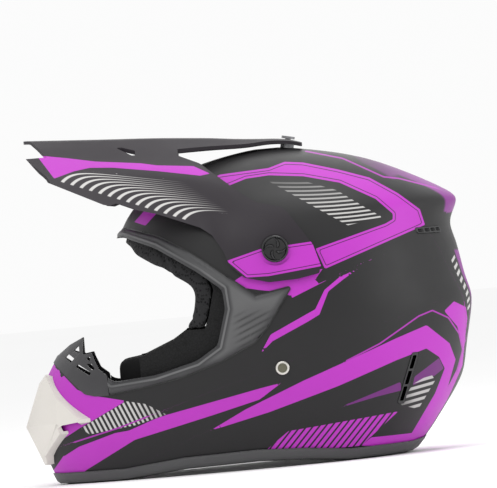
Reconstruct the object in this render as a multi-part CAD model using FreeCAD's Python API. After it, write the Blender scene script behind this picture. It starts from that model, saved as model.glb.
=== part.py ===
"""Motocross helmet with a tilting peak, built as an assembly of separate pieces.

Frame, in millimetres: the helmet stands on its lower rim, +Z is up and Z = 0 is the surface it stands on.
The face looks towards -Y, and +X is the wearer's left. The origin is under the middle of the whole helmet.

Every wall follows one smooth form, the outer surface of the hard shell. form(grow) gives that form grown
or shrunk by so many millimetres, so a wall is the difference of two of them, and its outline is a prism
drawn in the side view. Outlines and places are drawn for the size below and stretch with it, by across(),
along() and up(), while walls, gaps, pins and bores keep the size that is written here.
"""

import FreeCAD
import Part

import math
import os

from FreeCAD import Vector

os.makedirs("parts", exist_ok=True)

# ---------------------------------------------------------------- overall size, mm
HALF_WIDTH = 125.0  # hard shell at its widest
HALF_LENGTH = 183.0  # hard shell from chin to back, halved
CROWN = 261.5  # top of the hard shell above the surface it stands on

DRAWN_HALF_WIDTH = 125.0  # the size the outlines below are drawn for
DRAWN_HALF_LENGTH = 183.0
DRAWN_CROWN = 261.5
MIDDLE_Y = 3.0  # the form grows and shrinks about this place

# ---------------------------------------------------------------- walls, gaps and fits, mm
SHELL_WALL = 3.6
FOAM_GAP = 0.4  # between the hard shell and the foam behind it
PIECE_GAP = 0.4  # between two pieces that only lie side by side
MOVE_GAP = 0.5  # between two pieces that move past each other
RUNNING_FIT = 0.05  # radial clearance of a pin that turns in its hole
TRIM_PROUD = 1.8  # how far the rubber trims stand off the shell
TRIM_DEPTH = 7.0  # how far they reach in past the shell's outer surface
RIM_HEIGHT = 10.0
RIM_BELOW_SHELL = 3.6  # how much of the rim lies below the shell's lower edge
GUARD_PROUD = 0.8
GUARD_DEPTH = 4.2
PAD_THICKNESS = 10.0  # comfort liner on the foam
CHIN_FOAM = 17.0
FILTER_THICKNESS = 5.0

# ---------------------------------------------------------------- peak
PEAK_WALL = 2.6
PEAK_OFF_SHELL = 2.3  # gap between the peak's side fins and the shell
PEAK_UP_DEG = 4.0
PEAK_DOWN_DEG = 3.0
PIVOT_AT = (29.0, 178.0)  # y, z
BOSS_RADIUS = 12.0
BOSS_THICKNESS = 3.2
STUD_RADIUS = 3.0
KNOB_RADIUS = 11.0
KNOB_THICKNESS = 4.6
KNOB_RIBS = 12
INSERT_RADIUS = 5.6
INSERT_FLANGE_RADIUS = 8.0
INSERT_FLANGE = 1.4
INSERT_LENGTH = 12.0

TAIL_TOP_RADIUS = 91.6  # the tail is an arc about the pivot
TAIL_SCREW_AT = 12.5  # degrees behind the pivot's vertical
TAIL_SCREW_RADIUS = 2.4
TAIL_HEAD_RADIUS = 5.5
TAIL_HEAD_THICKNESS = 2.0

# ---------------------------------------------------------------- chin strap
ANCHOR_AT = (26.0, 81.0)  # y, z of the rivet
RIVET_HEAD_RADIUS = 5.7
RIVET_PROUD = 2.5  # off the shell, at the rivet's middle
RIVET_CENTRE_RADIUS = 3.9
SHANK_RADIUS = 2.6
HANGER_THICKNESS = 1.5
HANGER_INSET = 8.0  # from the shell's inner face, so that the webbing's loop clears the sloping wall
HANGER_RADIUS = 9.0
STRAP_WIDTH = 20.0
STRAP_THICKNESS = 1.6
STRAP_SWING_DEG = 10.0
STRAP_INNER_X = 53.5
STRAP_LOW_Z = 12.0
STRAP_BEND = 3.0  # radius of the webbing's bends, at its middle
HANGER_LOOP_RADIUS = 3.3
RING_RADIUS = 1.6  # half the ring wire's thickness
RING_WIDTH = 27.0
RING_DROP = 21.0
RING_PITCH = 6.5  # between the two rings' bars
SNAP_RADIUS = 6.0

# ---------------------------------------------------------------- places that stretch with the helmet


def across(x):
    return x * HALF_WIDTH / DRAWN_HALF_WIDTH


def along(y):
    return MIDDLE_Y + (y - MIDDLE_Y) * HALF_LENGTH / DRAWN_HALF_LENGTH


def up(z):
    return z * CROWN / DRAWN_CROWN


PIVOT_Y, PIVOT_Z = along(PIVOT_AT[0]), up(PIVOT_AT[1])
ANCHOR_Y, ANCHOR_Z = along(ANCHOR_AT[0]), up(ANCHOR_AT[1])

# ---------------------------------------------------------------- the form
# One row per level: height, front, back, half width, where it is widest, and how sharp the front and the
# back are (0.5 is an ellipse, more is pointed).
LEVELS = [
    (-12, -160, 116, 87, 34, 0.62, 0.50),
    (0, -166, 128, 94, 36, 0.62, 0.50),
    (14, -173, 142, 101, 40, 0.64, 0.50),
    (30, -177, 154, 106.5, 46, 0.66, 0.52),
    (46, -180, 166, 111, 50, 0.68, 0.54),
    (60, -179.5, 175, 114.5, 52, 0.70, 0.56),
    (70, -177, 178, 117, 50, 0.70, 0.57),
    (86, -172, 181, 120.5, 46, 0.69, 0.59),
    (102, -162, 185, 123.5, 40, 0.67, 0.61),
    (118, -150, 188.5, 125.5, 36, 0.64, 0.62),
    (128, -143, 189, 125.5, 34, 0.62, 0.62),
    (140, -135, 185, 124.8, 33, 0.60, 0.62),
    (156, -124, 182.5, 123.3, 32, 0.57, 0.61),
    (172, -114, 180, 120.5, 31, 0.55, 0.60),
    (183, -108, 176, 118, 30, 0.54, 0.60),
    (192, -103, 177.5, 115, 30, 0.53, 0.62),
    (203, -97, 184, 110, 30, 0.52, 0.66),
    (209, -94, 183, 106.5, 30, 0.51, 0.68),
    (217, -89, 171, 101, 30, 0.50, 0.66),
    (228, -79, 151, 91, 30, 0.50, 0.62),
    (239, -64, 129, 76, 30, 0.50, 0.58),
    (248, -44, 107, 59, 30, 0.50, 0.55),
    (255.5, -20, 78, 38, 30, 0.50, 0.52),
    (260.5, 8, 50, 14, 30, 0.50, 0.50),
    (261.5, 20, 40, 5, 30, 0.50, 0.50),
]
# The hollow that holds the head, at the face of the comfort liner, in the same terms.
HOLLOW = [
    (-20, -140, 100, 59, 20, 0.58, 0.50),
    (0, -142, 100, 59, 20, 0.58, 0.50),
    (30, -144, 106, 60, 22, 0.58, 0.50),
    (60, -140, 118, 61, 24, 0.56, 0.50),
    (90, -122, 130, 63, 26, 0.54, 0.50),
    (110, -92, 136, 69, 30, 0.46, 0.50),
    (130, -72, 138, 77, 34, 0.42, 0.50),
    (160, -65, 136, 79, 36, 0.42, 0.50),
    (185, -52, 127, 74, 36, 0.44, 0.50),
    (205, -32, 110, 61, 37, 0.50, 0.50),
    (217, -8, 88, 44, 38, 0.50, 0.50),
    (224, 14, 66, 24, 38, 0.50, 0.50),
    (226, 30, 50, 8, 39, 0.50, 0.50),
]
HOLLOW_HALF_WIDTH = 79  # at its widest
HOLLOW_HALF_LENGTH = 101
AROUND = 48  # poles around each level


def level_ring(level, half_grow, length_grow, height_grow):
    """The closed ring of poles of one level, grown about the middle by so much at the widest place."""
    z, front, back, half, widest_y, sharp_front, sharp_back = level
    wide = 1 + half_grow / HALF_WIDTH
    long = 1 + length_grow / HALF_LENGTH
    tall = 1 + height_grow / CROWN
    ring = []
    for i in range(AROUND):
        turn = 2 * math.pi * (i + 0.5) / AROUND
        sharp = sharp_front if math.cos(turn) > 0 else sharp_back
        reach = widest_y - front if math.cos(turn) > 0 else back - widest_y
        side = math.copysign(abs(math.sin(turn)) ** (2 * sharp), math.sin(turn))
        x = across(half * side) * wide
        y = MIDDLE_Y + (along(widest_y - reach * math.cos(turn)) - MIDDLE_Y) * long
        ring.append(Vector(x, y, up(z) * tall))
    return ring


def side_x(y, z):
    """Half the form's width at a drawn (y, z) place, before it is stretched."""
    for low, high in zip(LEVELS, LEVELS[1:]):
        if low[0] <= z <= high[0]:
            share = (z - low[0]) / (high[0] - low[0])
            level = [a + (b - a) * share for a, b in zip(low, high)]
    _, front, back, half, widest_y, sharp_front, sharp_back = level
    ahead = y < widest_y
    reach = widest_y - front if ahead else back - widest_y
    off = min(1.0, abs(y - widest_y) / reach)
    return half * (1 - off * off) ** (sharp_front if ahead else sharp_back)


def capped_solid(rows):
    """The solid inside a cubic spline surface through rows of poles, closed around and capped at each end."""
    surface = Part.BSplineSurface()
    surface.buildFromPolesMultsKnots(
        rows,
        [4] + [1] * (len(rows) - 4) + [4],
        [1] * (len(rows[0]) + 1),
        list(range(len(rows) - 2)),
        list(range(len(rows[0]) + 1)),
        False,
        True,
        3,
        3,
    )
    side = surface.toShape()
    caps = [Part.Face(Part.Wire([e])) for e in side.Edges if e.isClosed()]
    return outward(Part.Shell([side] + caps))


def outward(shell):
    """The solid inside a shell of faces, turned the right way out."""
    shell.sewShape()
    solid = Part.Solid(shell)
    if solid.Volume < 0:
        solid.reverse()
    return solid


def form(grow):
    return capped_solid([level_ring(level, grow, grow, grow) for level in LEVELS])


def head_hollow(grow):
    """The head's hollow grown sideways, lengthways and upwards by so much at its widest place."""
    wide = grow * HALF_WIDTH / across(HOLLOW_HALF_WIDTH)
    tall = grow * CROWN / up(HOLLOW[-1][0])
    stretch = 1 + grow / (along(HOLLOW_HALF_LENGTH) - along(0))
    rows = []
    for level in HOLLOW:
        ring = level_ring(level, wide, 0, tall)
        middle = along(level[4])
        rows.append([Vector(p.x, middle + (p.y - middle) * stretch, p.z) for p in ring])
    return capped_solid(rows)


# ---------------------------------------------------------------- outlines and prisms
WIDE = 2 * HALF_WIDTH  # well outside the helmet
HIGH = 2 * CROWN


def rounded_wire(corners, place):
    """A closed wire through (a, b, radius) corners, rounded by arcs. place() turns a flat point into one
    in space."""
    turns = []
    count = len(corners)
    for i, (a, b, radius) in enumerate(corners):
        here = Vector(a, b, 0)
        to_last = Vector(*corners[i - 1][:2], 0) - here
        to_next = Vector(*corners[(i + 1) % count][:2], 0) - here
        room = 0.48 * min(to_last.Length, to_next.Length)
        to_last.normalize()
        to_next.normalize()
        half = 0.5 * math.acos(max(-1.0, min(1.0, to_last.dot(to_next))))
        if radius <= 0 or half > math.radians(89.5):
            turns.append((here, None, here))
            continue
        back = min(radius / math.tan(half), room)
        radius = back * math.tan(half)
        inward = to_last + to_next
        inward.normalize()
        middle = here + inward * (radius / math.sin(half) - radius)
        turns.append((here + to_last * back, middle, here + to_next * back))
    edges = []
    for i, (start, middle, end) in enumerate(turns):
        if middle is not None:
            edges.append(Part.Arc(place(start), place(middle), place(end)).toShape())
        following = turns[(i + 1) % count][0]
        if (following - end).Length > 1e-6:
            edges.append(Part.makeLine(place(end), place(following)))
    return Part.Wire(edges)


def with_radius(points, stretch_a, stretch_b, radius):
    """Stretches an outline's (a, b) or (a, b, radius) points, and gives the others the radius."""
    return [(stretch_a(p[0]), stretch_b(p[1]), p[2] if len(p) > 2 else radius) for p in points]


def side_prism(points, x_low=-WIDE, x_high=WIDE, radius=0.0):
    """A prism across the helmet, its outline drawn as (y, z) in the side view."""
    wire = rounded_wire(with_radius(points, along, up, radius), lambda v: Vector(x_low, v.x, v.y))
    return Part.Face(wire).extrude(Vector(x_high - x_low, 0, 0))


def plan_prism(points, z_low, z_high, radius=0.0):
    """An upright prism, its outline drawn as (x, y) in plan."""
    wire = rounded_wire(with_radius(points, across, along, radius), lambda v: Vector(v.x, v.y, z_low))
    return Part.Face(wire).extrude(Vector(0, 0, z_high - z_low))


def front_prism(points, y_low, y_high, radius=0.0):
    """A prism along the helmet, its outline drawn as (x, z) in the front view."""
    wire = rounded_wire(with_radius(points, across, up, radius), lambda v: Vector(v.x, y_low, v.y))
    return Part.Face(wire).extrude(Vector(0, y_high - y_low, 0))


def box(x0, x1, y0, y1, z0, z1):
    """A box between drawn places."""
    x0, x1, y0, y1, z0, z1 = across(x0), across(x1), along(y0), along(y1), up(z0), up(z1)
    return Part.makeBox(x1 - x0, y1 - y0, z1 - z0, Vector(x0, y0, z0))


def rod_x(radius, x0, x1, y, z):
    return Part.makeCylinder(radius, x1 - x0, Vector(x0, y, z), Vector(1, 0, 0))


def wall_x(solid, y, z):
    """How far a solid reaches to the left at a place."""
    line = Part.makeLine(Vector(0, y, z), Vector(WIDE, y, z))
    return solid.common(line).BoundBox.XMax


def mirrored(shape):
    return shape.mirror(Vector(0, 0, 0), Vector(1, 0, 0))


def both_sides(shape):
    return shape.fuse(mirrored(shape))


def write(name, shape):
    """Writes a piece's solids, without slivers."""
    biggest = max(s.Volume for s in shape.Solids)
    kept = [s for s in shape.Solids if s.Volume > 0.01 * biggest]
    piece = kept[0] if len(kept) == 1 else Part.makeCompound(kept)
    piece.exportStep(f"parts/{name}.step")
    state = "ok" if piece.isValid() else "NOT VALID"
    print(f"{name}: {len(kept)} solid(s), {piece.Volume / 1000:.2f} cm3, {state}", flush=True)


def write_pair(name, left_shape):
    write(f"{name}_left", left_shape)
    write(f"{name}_right", mirrored(left_shape))


# ---------------------------------------------------------------- outlines drawn in the side view, (y, z)
SHELL_PORT = [
    (-230, 203),
    (-95, 203, 10),
    (-67, 192, 60),
    (-34, 169, 60),
    (-12, 151, 10),
    (-11, 133, 20),
    (-20, 101, 9),
    (-42, 88.5, 25),
    (-78, 80, 60),
    (-116, 76, 12),
    (-134, 77.5, 8),
    (-148, 91),
    (-160, 104),
    (-230, 104),
]
TRIM_PORT = [
    (-230, 199),
    (-94, 199, 10),
    (-69, 188, 60),
    (-36, 165, 60),
    (-17, 149, 10),
    (-16, 133, 20),
    (-25, 104, 9),
    (-43, 93, 25),
    (-78, 84.5, 60),
    (-114, 81.5, 12),
    (-124, 93, 6),
    (-131, 98),
    (-175, 104),
    (-230, 104),
]
TRIM_OUTLINE = [
    (-230, 207),
    (-90, 207, 8),
    (-65, 198, 40),
    (-41, 183, 60),
    (-18, 165, 60),
    (10, 142.5, 3),
    (41, 147.5, 2),
    (17, 114, 14),
    (6, 103, 14),
    (-23, 90, 40),
    (-56, 80, 60),
    (-91, 74, 60),
    (-117.4, 71),
    (-117.4, 87.5),
    (-150, 130),
    (-230, 130),
]
GUARD_OUTLINE = [
    (-230, 101),
    (-162, 101),
    (-147, 83, 6),
    (-138, 73.5, 6),
    (-129, 71, 6),
    (-117.8, 71),
    (-117.8, 87.5, 3),
    (-124.5, 93.5, 3),
    (-128, 103, 1),
    (-129, 107, 0.6),
    (-136.5, 106, 1),
    (-136, 120, 0.6),
    (-147, 115, 8),
    (-158, 107, 4),
    (-170, 105),
    (-230, 105),
]
GUARD_HOLES = [
    [(-152, 104.5), (-148.5, 107.5), (-144, 103.5), (-147.5, 100.5)],
    [(-144.5, 109.5), (-139.3, 114), (-139.3, 107.5)],
    [(-134.5, 102.8), (-130.5, 104.2), (-131, 100)],
    [(-143.5, 96.5), (-141, 98.5), (-131, 91), (-132.5, 88.5)],
    [(-134.5, 98.5), (-129.8, 98), (-127.5, 93.5), (-130, 93)],
]
FACE_OPENING = [
    (-230, 193),
    (-90, 193, 3),
    (-86, 184, 6),
    (-38, 152, 12),
    (-42, 132, 10),
    (-50, 118, 8),
    (-62, 110.5, 10),
    (-86, 101, 10),
    (-112, 98, 8),
    (-128, 104),
    (-230, 112),
]
BROW_BAND = [
    (-110, 200),
    (-88, 203, 4),
    (-80, 199, 8),
    (-30, 166, 10),
    (-24, 150, 8),
    (-30, 128, 8),
    (-34, 118.5),
    (-60, 118.5),
    (-60, 170),
    (-110, 185),
]
RIM_LINE = [(-230, 0), (-110, 0), (-60, 5.2), (0, 6.2), (40, 4), (74, 0), (128, 0), (150, 4), (230, 24)]
SIDE_VENT = [(133, 83), (139, 83), (122.5, 42), (116.5, 42)]
REAR_VENT = [(36, 178.5), (66, 179.5), (66, 184.5), (36, 184.5)]  # (x, z)
CHIN_VENT = [(-11, 30), (11, 30), (15, 50), (11, 72), (-11, 72), (-15, 50)]  # (x, z)


def above_rim_line(lift):
    """Everything higher than so much above the lower edge."""
    low = [(y, z + lift * DRAWN_CROWN / CROWN) for y, z in RIM_LINE]
    return side_prism(low + [(230, 400), (-230, 400)])


def grown(outline, by):
    """A closed outline with every edge moved outwards by so much."""
    points = [Vector(a, b, 0) for a, b in outline]
    area = sum(points[i - 1].x * p.y - p.x * points[i - 1].y for i, p in enumerate(points))
    moved = []
    for i, here in enumerate(points):
        first = here - points[i - 1]
        second = points[(i + 1) % len(points)] - here
        first.normalize()
        second.normalize()
        normal = Vector(first.y + second.y, -first.x - second.x, 0)
        normal.normalize()
        reach = by / normal.dot(Vector(first.y, -first.x, 0))
        here = here + normal * math.copysign(1, area) * reach
        moved.append((here.x, here.y))
    return moved


def rear_vent_hole(by):
    return front_prism(grown(REAR_VENT, by), along(60), along(230), 2.0)


def side_vent_hole(by):
    return side_prism(grown(SIDE_VENT, by), across(20), WIDE, 1.5)


def chin_vent_hole(by):
    return front_prism(grown(CHIN_VENT, by), along(-230), along(-120), 3.0)


# ---------------------------------------------------------------- shared bodies
outer = form(0)
inner = form(-SHELL_WALL)
trim_outside = form(TRIM_PROUD)
trim_inside = form(-TRIM_DEPTH)
shell_port = side_prism(SHELL_PORT)
trim_port = side_prism(TRIM_PORT)
hollow = head_hollow(0)

PIVOT_SHELL_X = wall_x(outer, PIVOT_Y, PIVOT_Z)
ANCHOR_SHELL_X = wall_x(outer, ANCHOR_Y, ANCHOR_Z)
BOSS_INNER_X = wall_x(outer, PIVOT_Y, PIVOT_Z - BOSS_RADIUS) + MOVE_GAP
BOSS_OUTER_X = BOSS_INNER_X + BOSS_THICKNESS
KNOB_INNER_X = BOSS_OUTER_X + MOVE_GAP


def radial_rod(radius, low, high):
    """A rod on the tail screw's axis, which points away from the peak's pivot."""
    lean = math.radians(TAIL_SCREW_AT)
    away = Vector(0, math.sin(lean), math.cos(lean))
    return Part.makeCylinder(radius, high - low, Vector(0, PIVOT_Y, PIVOT_Z) + away * low, away)


def tail_shell_radius():
    """How far from the pivot the shell's crown is, along the tail screw."""
    return outer.common(radial_rod(0.5, 0, CROWN)).BoundBox.ZMax - PIVOT_Z


TAIL_SHELL = tail_shell_radius() / math.cos(math.radians(TAIL_SCREW_AT))


# ---------------------------------------------------------------- hard shell, rubber trims and nose guard
def outer_shell():
    shell = outer.cut(inner)
    shell = shell.common(above_rim_line(RIM_BELOW_SHELL))
    shell = shell.cut(shell_port)
    holes = [
        rear_vent_hole(0),
        mirrored(rear_vent_hole(0)),
        side_vent_hole(0),
        mirrored(side_vent_hole(0)),
        chin_vent_hole(0),
        rod_x(INSERT_RADIUS, -WIDE, WIDE, PIVOT_Y, PIVOT_Z),
        rod_x(SHANK_RADIUS, -WIDE, WIDE, ANCHOR_Y, ANCHOR_Z),
        radial_rod(INSERT_RADIUS, TAIL_SHELL - 2 * SHELL_WALL, TAIL_SHELL + SHELL_WALL),
    ]
    for hole in holes:
        shell = shell.cut(hole)
    return shell


def eyeport_trim():
    skin = trim_outside.common(side_prism(TRIM_OUTLINE))
    skin = skin.cut(trim_port)
    skin = skin.cut(trim_inside)
    return skin.cut(outer.cut(shell_port))


def bottom_trim():
    band = trim_outside.cut(trim_inside)
    band = band.common(above_rim_line(0)).cut(above_rim_line(RIM_HEIGHT))
    return band.cut(outer.common(above_rim_line(RIM_BELOW_SHELL)))


def nose_guard():
    wall = form(GUARD_PROUD).cut(form(-GUARD_DEPTH))
    guard = wall.common(side_prism(GUARD_OUTLINE))
    for hole in GUARD_HOLES:
        guard = guard.cut(side_prism(hole, radius=0.6))
    return guard.cut(outer.cut(shell_port))


# ---------------------------------------------------------------- vents
def slotted(plate, slots):
    for slot in slots:
        plate = plate.cut(slot)
    return plate


def rear_vent_grille():
    plate = form(0.6).cut(trim_inside).common(rear_vent_hole(-PIECE_GAP / 2))
    bars = 4
    first, last = REAR_VENT[0][0] + 1.6, REAR_VENT[1][0] - 1.6
    pitch = (last - first + 1.4) / bars
    slots = []
    for i in range(bars):
        x = first + i * pitch
        slot = [(x, 180), (x + pitch - 1.4, 180.4), (x + pitch - 1.4, 183.1), (x, 183.1)]
        slots.append(front_prism(slot, along(60), along(230), 0.8))
    return slotted(plate, slots)


def side_vent_louvre():
    plate = form(0.5).cut(trim_inside).common(side_vent_hole(-PIECE_GAP / 2))
    slots = []
    for low, high in ((0.06, 0.34), (0.38, 0.64), (0.68, 0.94)):
        slot = []
        for edge, share in ((1.4, high), (4.6, high), (4.6, low), (1.4, low)):
            slot.append((116.5 + edge + 16.5 * share, 42 + 41 * share))
        slots.append(side_prism(slot, across(20), WIDE, 0.7))
    return slotted(plate, slots)


def chin_vent_grille():
    plate = outer.cut(inner).common(chin_vent_hole(-PIECE_GAP / 2))
    slots = []
    for i in range(6):
        z = 34 + i * 6.2
        slot = [(-9, z), (9, z), (9, z + 3.2), (-9, z + 3.2)]
        slots.append(front_prism(slot, along(-230), along(-120), 1.4))
    return slotted(plate, slots)


def chin_filter_foam():
    layer = form(-SHELL_WALL - FOAM_GAP).cut(form(-SHELL_WALL - FOAM_GAP - FILTER_THICKNESS))
    return layer.common(chin_vent_hole(4))


# The faceted cover of the chin vent: its left half, (x, y, z).
COVER_TOP = (0, -170, 92)
COVER_BROW = (0, -176, 85)
COVER_NOSE = (0, -190, 50)
COVER_FOOT = (0, -177.5, 17)
RIDGE_TOP = (8, -175, 84.5)
RIDGE_MIDDLE = (38, -164, 51)
RIDGE_FOOT = (9, -179, 24)
EDGE_TOP = (14, -170, 90.5)
EDGE_MIDDLE = (34, -162, 72)
WING_HIGH = (54, -145, 53.5)
WING_LOW = (54, -145, 50.5)
WING_ROOT = (43, -158, 47.5)
EDGE_LOW = (16, -176, 25)
EDGE_FOOT = (12, -175, 18)
COVER_EDGE = [COVER_TOP, EDGE_TOP, EDGE_MIDDLE, WING_HIGH, WING_LOW, WING_ROOT, EDGE_LOW, EDGE_FOOT, COVER_FOOT]
COVER_FACETS = [
    (COVER_BROW, COVER_NOSE, RIDGE_TOP),
    (RIDGE_TOP, COVER_NOSE, RIDGE_MIDDLE),
    (RIDGE_MIDDLE, COVER_NOSE, RIDGE_FOOT),
    (RIDGE_FOOT, COVER_NOSE, COVER_FOOT),
    (COVER_TOP, COVER_BROW, RIDGE_TOP),
    (COVER_TOP, RIDGE_TOP, EDGE_TOP),
    (EDGE_TOP, RIDGE_TOP, EDGE_MIDDLE),
    (RIDGE_TOP, RIDGE_MIDDLE, EDGE_MIDDLE),
    (EDGE_MIDDLE, RIDGE_MIDDLE, WING_HIGH),
    (RIDGE_MIDDLE, WING_LOW, WING_HIGH),
    (RIDGE_MIDDLE, WING_ROOT, WING_LOW),
    (RIDGE_MIDDLE, EDGE_LOW, WING_ROOT),
    (RIDGE_MIDDLE, RIDGE_FOOT, EDGE_LOW),
    (RIDGE_FOOT, EDGE_FOOT, EDGE_LOW),
    (RIDGE_FOOT, COVER_FOOT, EDGE_FOOT),
]
COVER_BACK_Y = -120
COVER_WALL_SHARE = 0.945  # the hollow inside the cover, as a share of its size


def placed(point):
    return Vector(across(point[0]), along(point[1]), up(point[2]))


def other_side(point):
    return (-point[0], point[1], point[2])


def polygon_face(points):
    vectors = [placed(p) for p in points]
    return Part.Face(Part.makePolygon(vectors + vectors[:1]))


def faceted_block():
    """The cover's facets, closed by straight sides and a flat back deep inside the chin."""
    faces = []
    for facet in COVER_FACETS:
        faces.append(polygon_face(facet))
        faces.append(polygon_face([other_side(p) for p in facet]))
    ring = COVER_EDGE + [other_side(p) for p in COVER_EDGE[-2:0:-1]]
    back = [(x, COVER_BACK_Y, z) for x, _, z in ring]
    for i in range(len(ring)):
        j = (i + 1) % len(ring)
        faces.append(polygon_face([ring[i], ring[j], back[j]]))
        faces.append(polygon_face([ring[i], back[j], back[i]]))
    faces.append(polygon_face(back))
    return outward(Part.Shell(faces))


def chin_vent_cover():
    block = faceted_block()
    centre = placed((0, -128, 52))
    room = block.copy()
    room.scale(COVER_WALL_SHARE, centre)
    cover = block.cut(room).cut(outer)
    mouth = [(-166, 46), (-159, 49.6), (-146, 51.2), (-143, 49), (-156, 40)]
    cover = cover.cut(side_prism(mouth, across(37), WIDE)).cut(side_prism(mouth, -WIDE, across(-37)))
    return cover


# ---------------------------------------------------------------- foam, liner and pads
FOAM_LOW_Z = 62  # the foam's lower edge at the sides
FOAM_BACK_LOW_Z = 40
CHEEK_FRONT_Y = -108
CHEEK_BACK_Y = 60
CHEEK_TOP_Z = 118
CHEEK_SEAT = 26  # foam left outside the cheek pads
CHIN_FOAM_TOP_Z = 70
CHIN_FOAM_LOW_Z = 14
INSERT_ROOM = 1.5  # foam cut away around the inserts
STRAP_ROOM = [(125, 98), (100, 98), (99, 64), (75, 23), (46, 23), (46, 0), (125, 0)]  # (x, z)
STRAP_ROOM_HALF = 26  # along the helmet, each side of the rivet


def strap_room():
    low, high = ANCHOR_Y - STRAP_ROOM_HALF, ANCHOR_Y + STRAP_ROOM_HALF
    return both_sides(front_prism(STRAP_ROOM, low, high))


def foam_space():
    """Where foam and pads may be: inside the shell, above the rim, clear of the trims, straps and face."""
    space = form(-SHELL_WALL - FOAM_GAP)
    space = space.common(above_rim_line(RIM_HEIGHT + PIECE_GAP))
    space = space.cut(shell_port.cut(form(-TRIM_DEPTH - PIECE_GAP)))
    space = space.cut(side_prism(FACE_OPENING))
    return space.cut(strap_room())


def eps_crown(space):
    foam = space.common(box(-200, 200, -200, 200, FOAM_BACK_LOW_Z, 300))
    foam = foam.cut(box(-200, 200, -200, CHEEK_BACK_Y, 0, FOAM_LOW_Z))
    foam = foam.cut(head_hollow(PAD_THICKNESS))
    foam = foam.cut(form(-CHEEK_SEAT).common(box(-200, 200, -200, CHEEK_BACK_Y, 0, CHEEK_TOP_Z)))
    foam = foam.cut(side_prism(BROW_BAND))
    foam = foam.cut(side_vent_hole(1)).cut(mirrored(side_vent_hole(1)))
    foam = foam.cut(rear_vent_hole(1)).cut(mirrored(rear_vent_hole(1)))
    reach = INSERT_LENGTH + INSERT_ROOM
    room = rod_x(INSERT_FLANGE_RADIUS, PIVOT_SHELL_X - reach, WIDE, PIVOT_Y, PIVOT_Z)
    foam = foam.cut(both_sides(room))
    foam = foam.cut(radial_rod(INSERT_FLANGE_RADIUS, TAIL_SHELL - reach, TAIL_SHELL + 10))
    return foam.common(box(-200, 200, -90, 200, 0, 300))


def eps_chin(space):
    bar = space.cut(form(-SHELL_WALL - FOAM_GAP - CHIN_FOAM))
    bar = bar.common(box(-200, 200, -200, CHEEK_FRONT_Y - PIECE_GAP, CHIN_FOAM_LOW_Z, CHIN_FOAM_TOP_Z))
    return bar.cut(chin_vent_hole(4.6))


def cheek_pad(space):
    gap = PIECE_GAP
    pad = space.common(box(0, 200, CHEEK_FRONT_Y, CHEEK_BACK_Y - gap, 0, CHEEK_TOP_Z - gap))
    beside_foam = box(0, 200, -200, 200, FOAM_LOW_Z - gap, 200).cut(form(-CHEEK_SEAT - gap))
    return pad.cut(beside_foam).cut(hollow)


def neck_roll(space):
    gap = PIECE_GAP
    roll = space.common(box(-200, 200, CHEEK_BACK_Y, 200, 0, FOAM_BACK_LOW_Z - gap))
    return roll.cut(hollow)


def brow_pad(space):
    band = side_prism(BROW_BAND).common(space)
    band = band.cut(hollow)
    lower = box(-200, 200, -200, 200, 0, CHEEK_TOP_Z)
    return band.cut(lower)


def crown_liner(space):
    liner = head_hollow(PAD_THICKNESS - PIECE_GAP).cut(hollow)
    liner = liner.common(box(-200, 200, -200, 200, CHEEK_TOP_Z + PIECE_GAP, 300))
    band = [(y, z) for y, z in ((-200, 300), (-60, 215), (-26, 170), (-20, 150), (-30, 118), (-200, 118))]
    return liner.common(space).cut(side_prism(band))


# ---------------------------------------------------------------- peak
# Its sections across, from the front: y, the middle ridge (half width, z), the inner and outer edge of the
# side fold, and the place below the lower edge that the side wall runs down to, each (x, z).
PEAK_SECTIONS = [
    (-190, (17, 287), (41, 277), (74, 261), (84, 251)),
    (-172, (17, 286.5), (42, 274.5), (75, 257), (84, 248)),
    (-158, (17, 285.6), (43, 272.5), (75, 254.6), (84.5, 244)),
    (-140, (17, 284.2), (45, 269.5), (70, 255.5), (87, 234)),
    (-120, (17, 282.8), (48, 265), (65, 257), (92, 224)),
    (-99, (17, 281.2), (51, 261.8), (63.5, 257), (97, 216)),
    (-76, (16.5, 279.8), (55, 258.6), (67, 253.5), (102, 208)),
    (-52, (16, 278), (59, 255), (72, 249.5), (108, 198)),
    (-32, (15, 276), (63, 251.5), (76, 246), (113.5, 184)),
]
# Behind these the side walls lie beside the shell: y, ridge (half width, z), fold inner and outer (x, z).
FIN_SECTIONS = [
    (-16, (14.5, 274.6), (66, 248), (80, 241.5)),
    (0, (13.5, 272.4), (68, 246.5), (84, 238)),
    (16, (12.5, 270.6), (68, 246), (87, 235.5)),
]
TAIL_SECTIONS = [(29, 11.5), (40, 10.5), (50, 9.5), (60, 9), (72, 8.5), (84, 8)]  # y, ridge half width
FIN_HEIGHTS = [(228, 3.0), (210, 2.4), (192, 1.0), (172, 0), (146, 0)]  # z, and extra room for the tilt
PEAK_PLAN = [
    (0, -170),
    (6.5, -169),
    (44.7, -151),
    (48, -169),
    (80, -147),
    (150, -80),
    (150, 120),
    (0, 120),
]
PEAK_SIDE = [
    (-230, 330),
    (-230, 300),
    (-171, 274.5),
    (-168.5, 271.5),
    (-152, 250, 2),
    (-107, 227, 3),
    (-101, 226, 1),
    (-97, 227.3, 1),
    (-83, 221, 2),
    (-63, 215, 20),
    (-30, 201, 8),
    (-21, 194, 8),
    (-13, 180, 12),
    (-9, 168, 12),
    (2, 157, 8),
    (22, 151.5, 12),
    (45, 152, 6),
    (63, 155, 2),
    (65, 161, 2),
    (60, 179, 12),
    (42, 207, 2),
    (37, 212, 2),
    (18, 217, 3),
    (8, 224, 2),
    (-8, 238, 8),
    (-26, 254, 6),
    (-43, 262),
    (-43, 330),
]
TAIL_PLAN = [(0, -60), (34.5, -60), (34.5, -43), (20.5, 22, 60), (13, 60, 3), (0, 60)]
FRONT_SLOT = [(30.5, -94), (43, -81), (43, -78), (36, -78), (30.5, -89)]  # (x, y)


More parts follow.
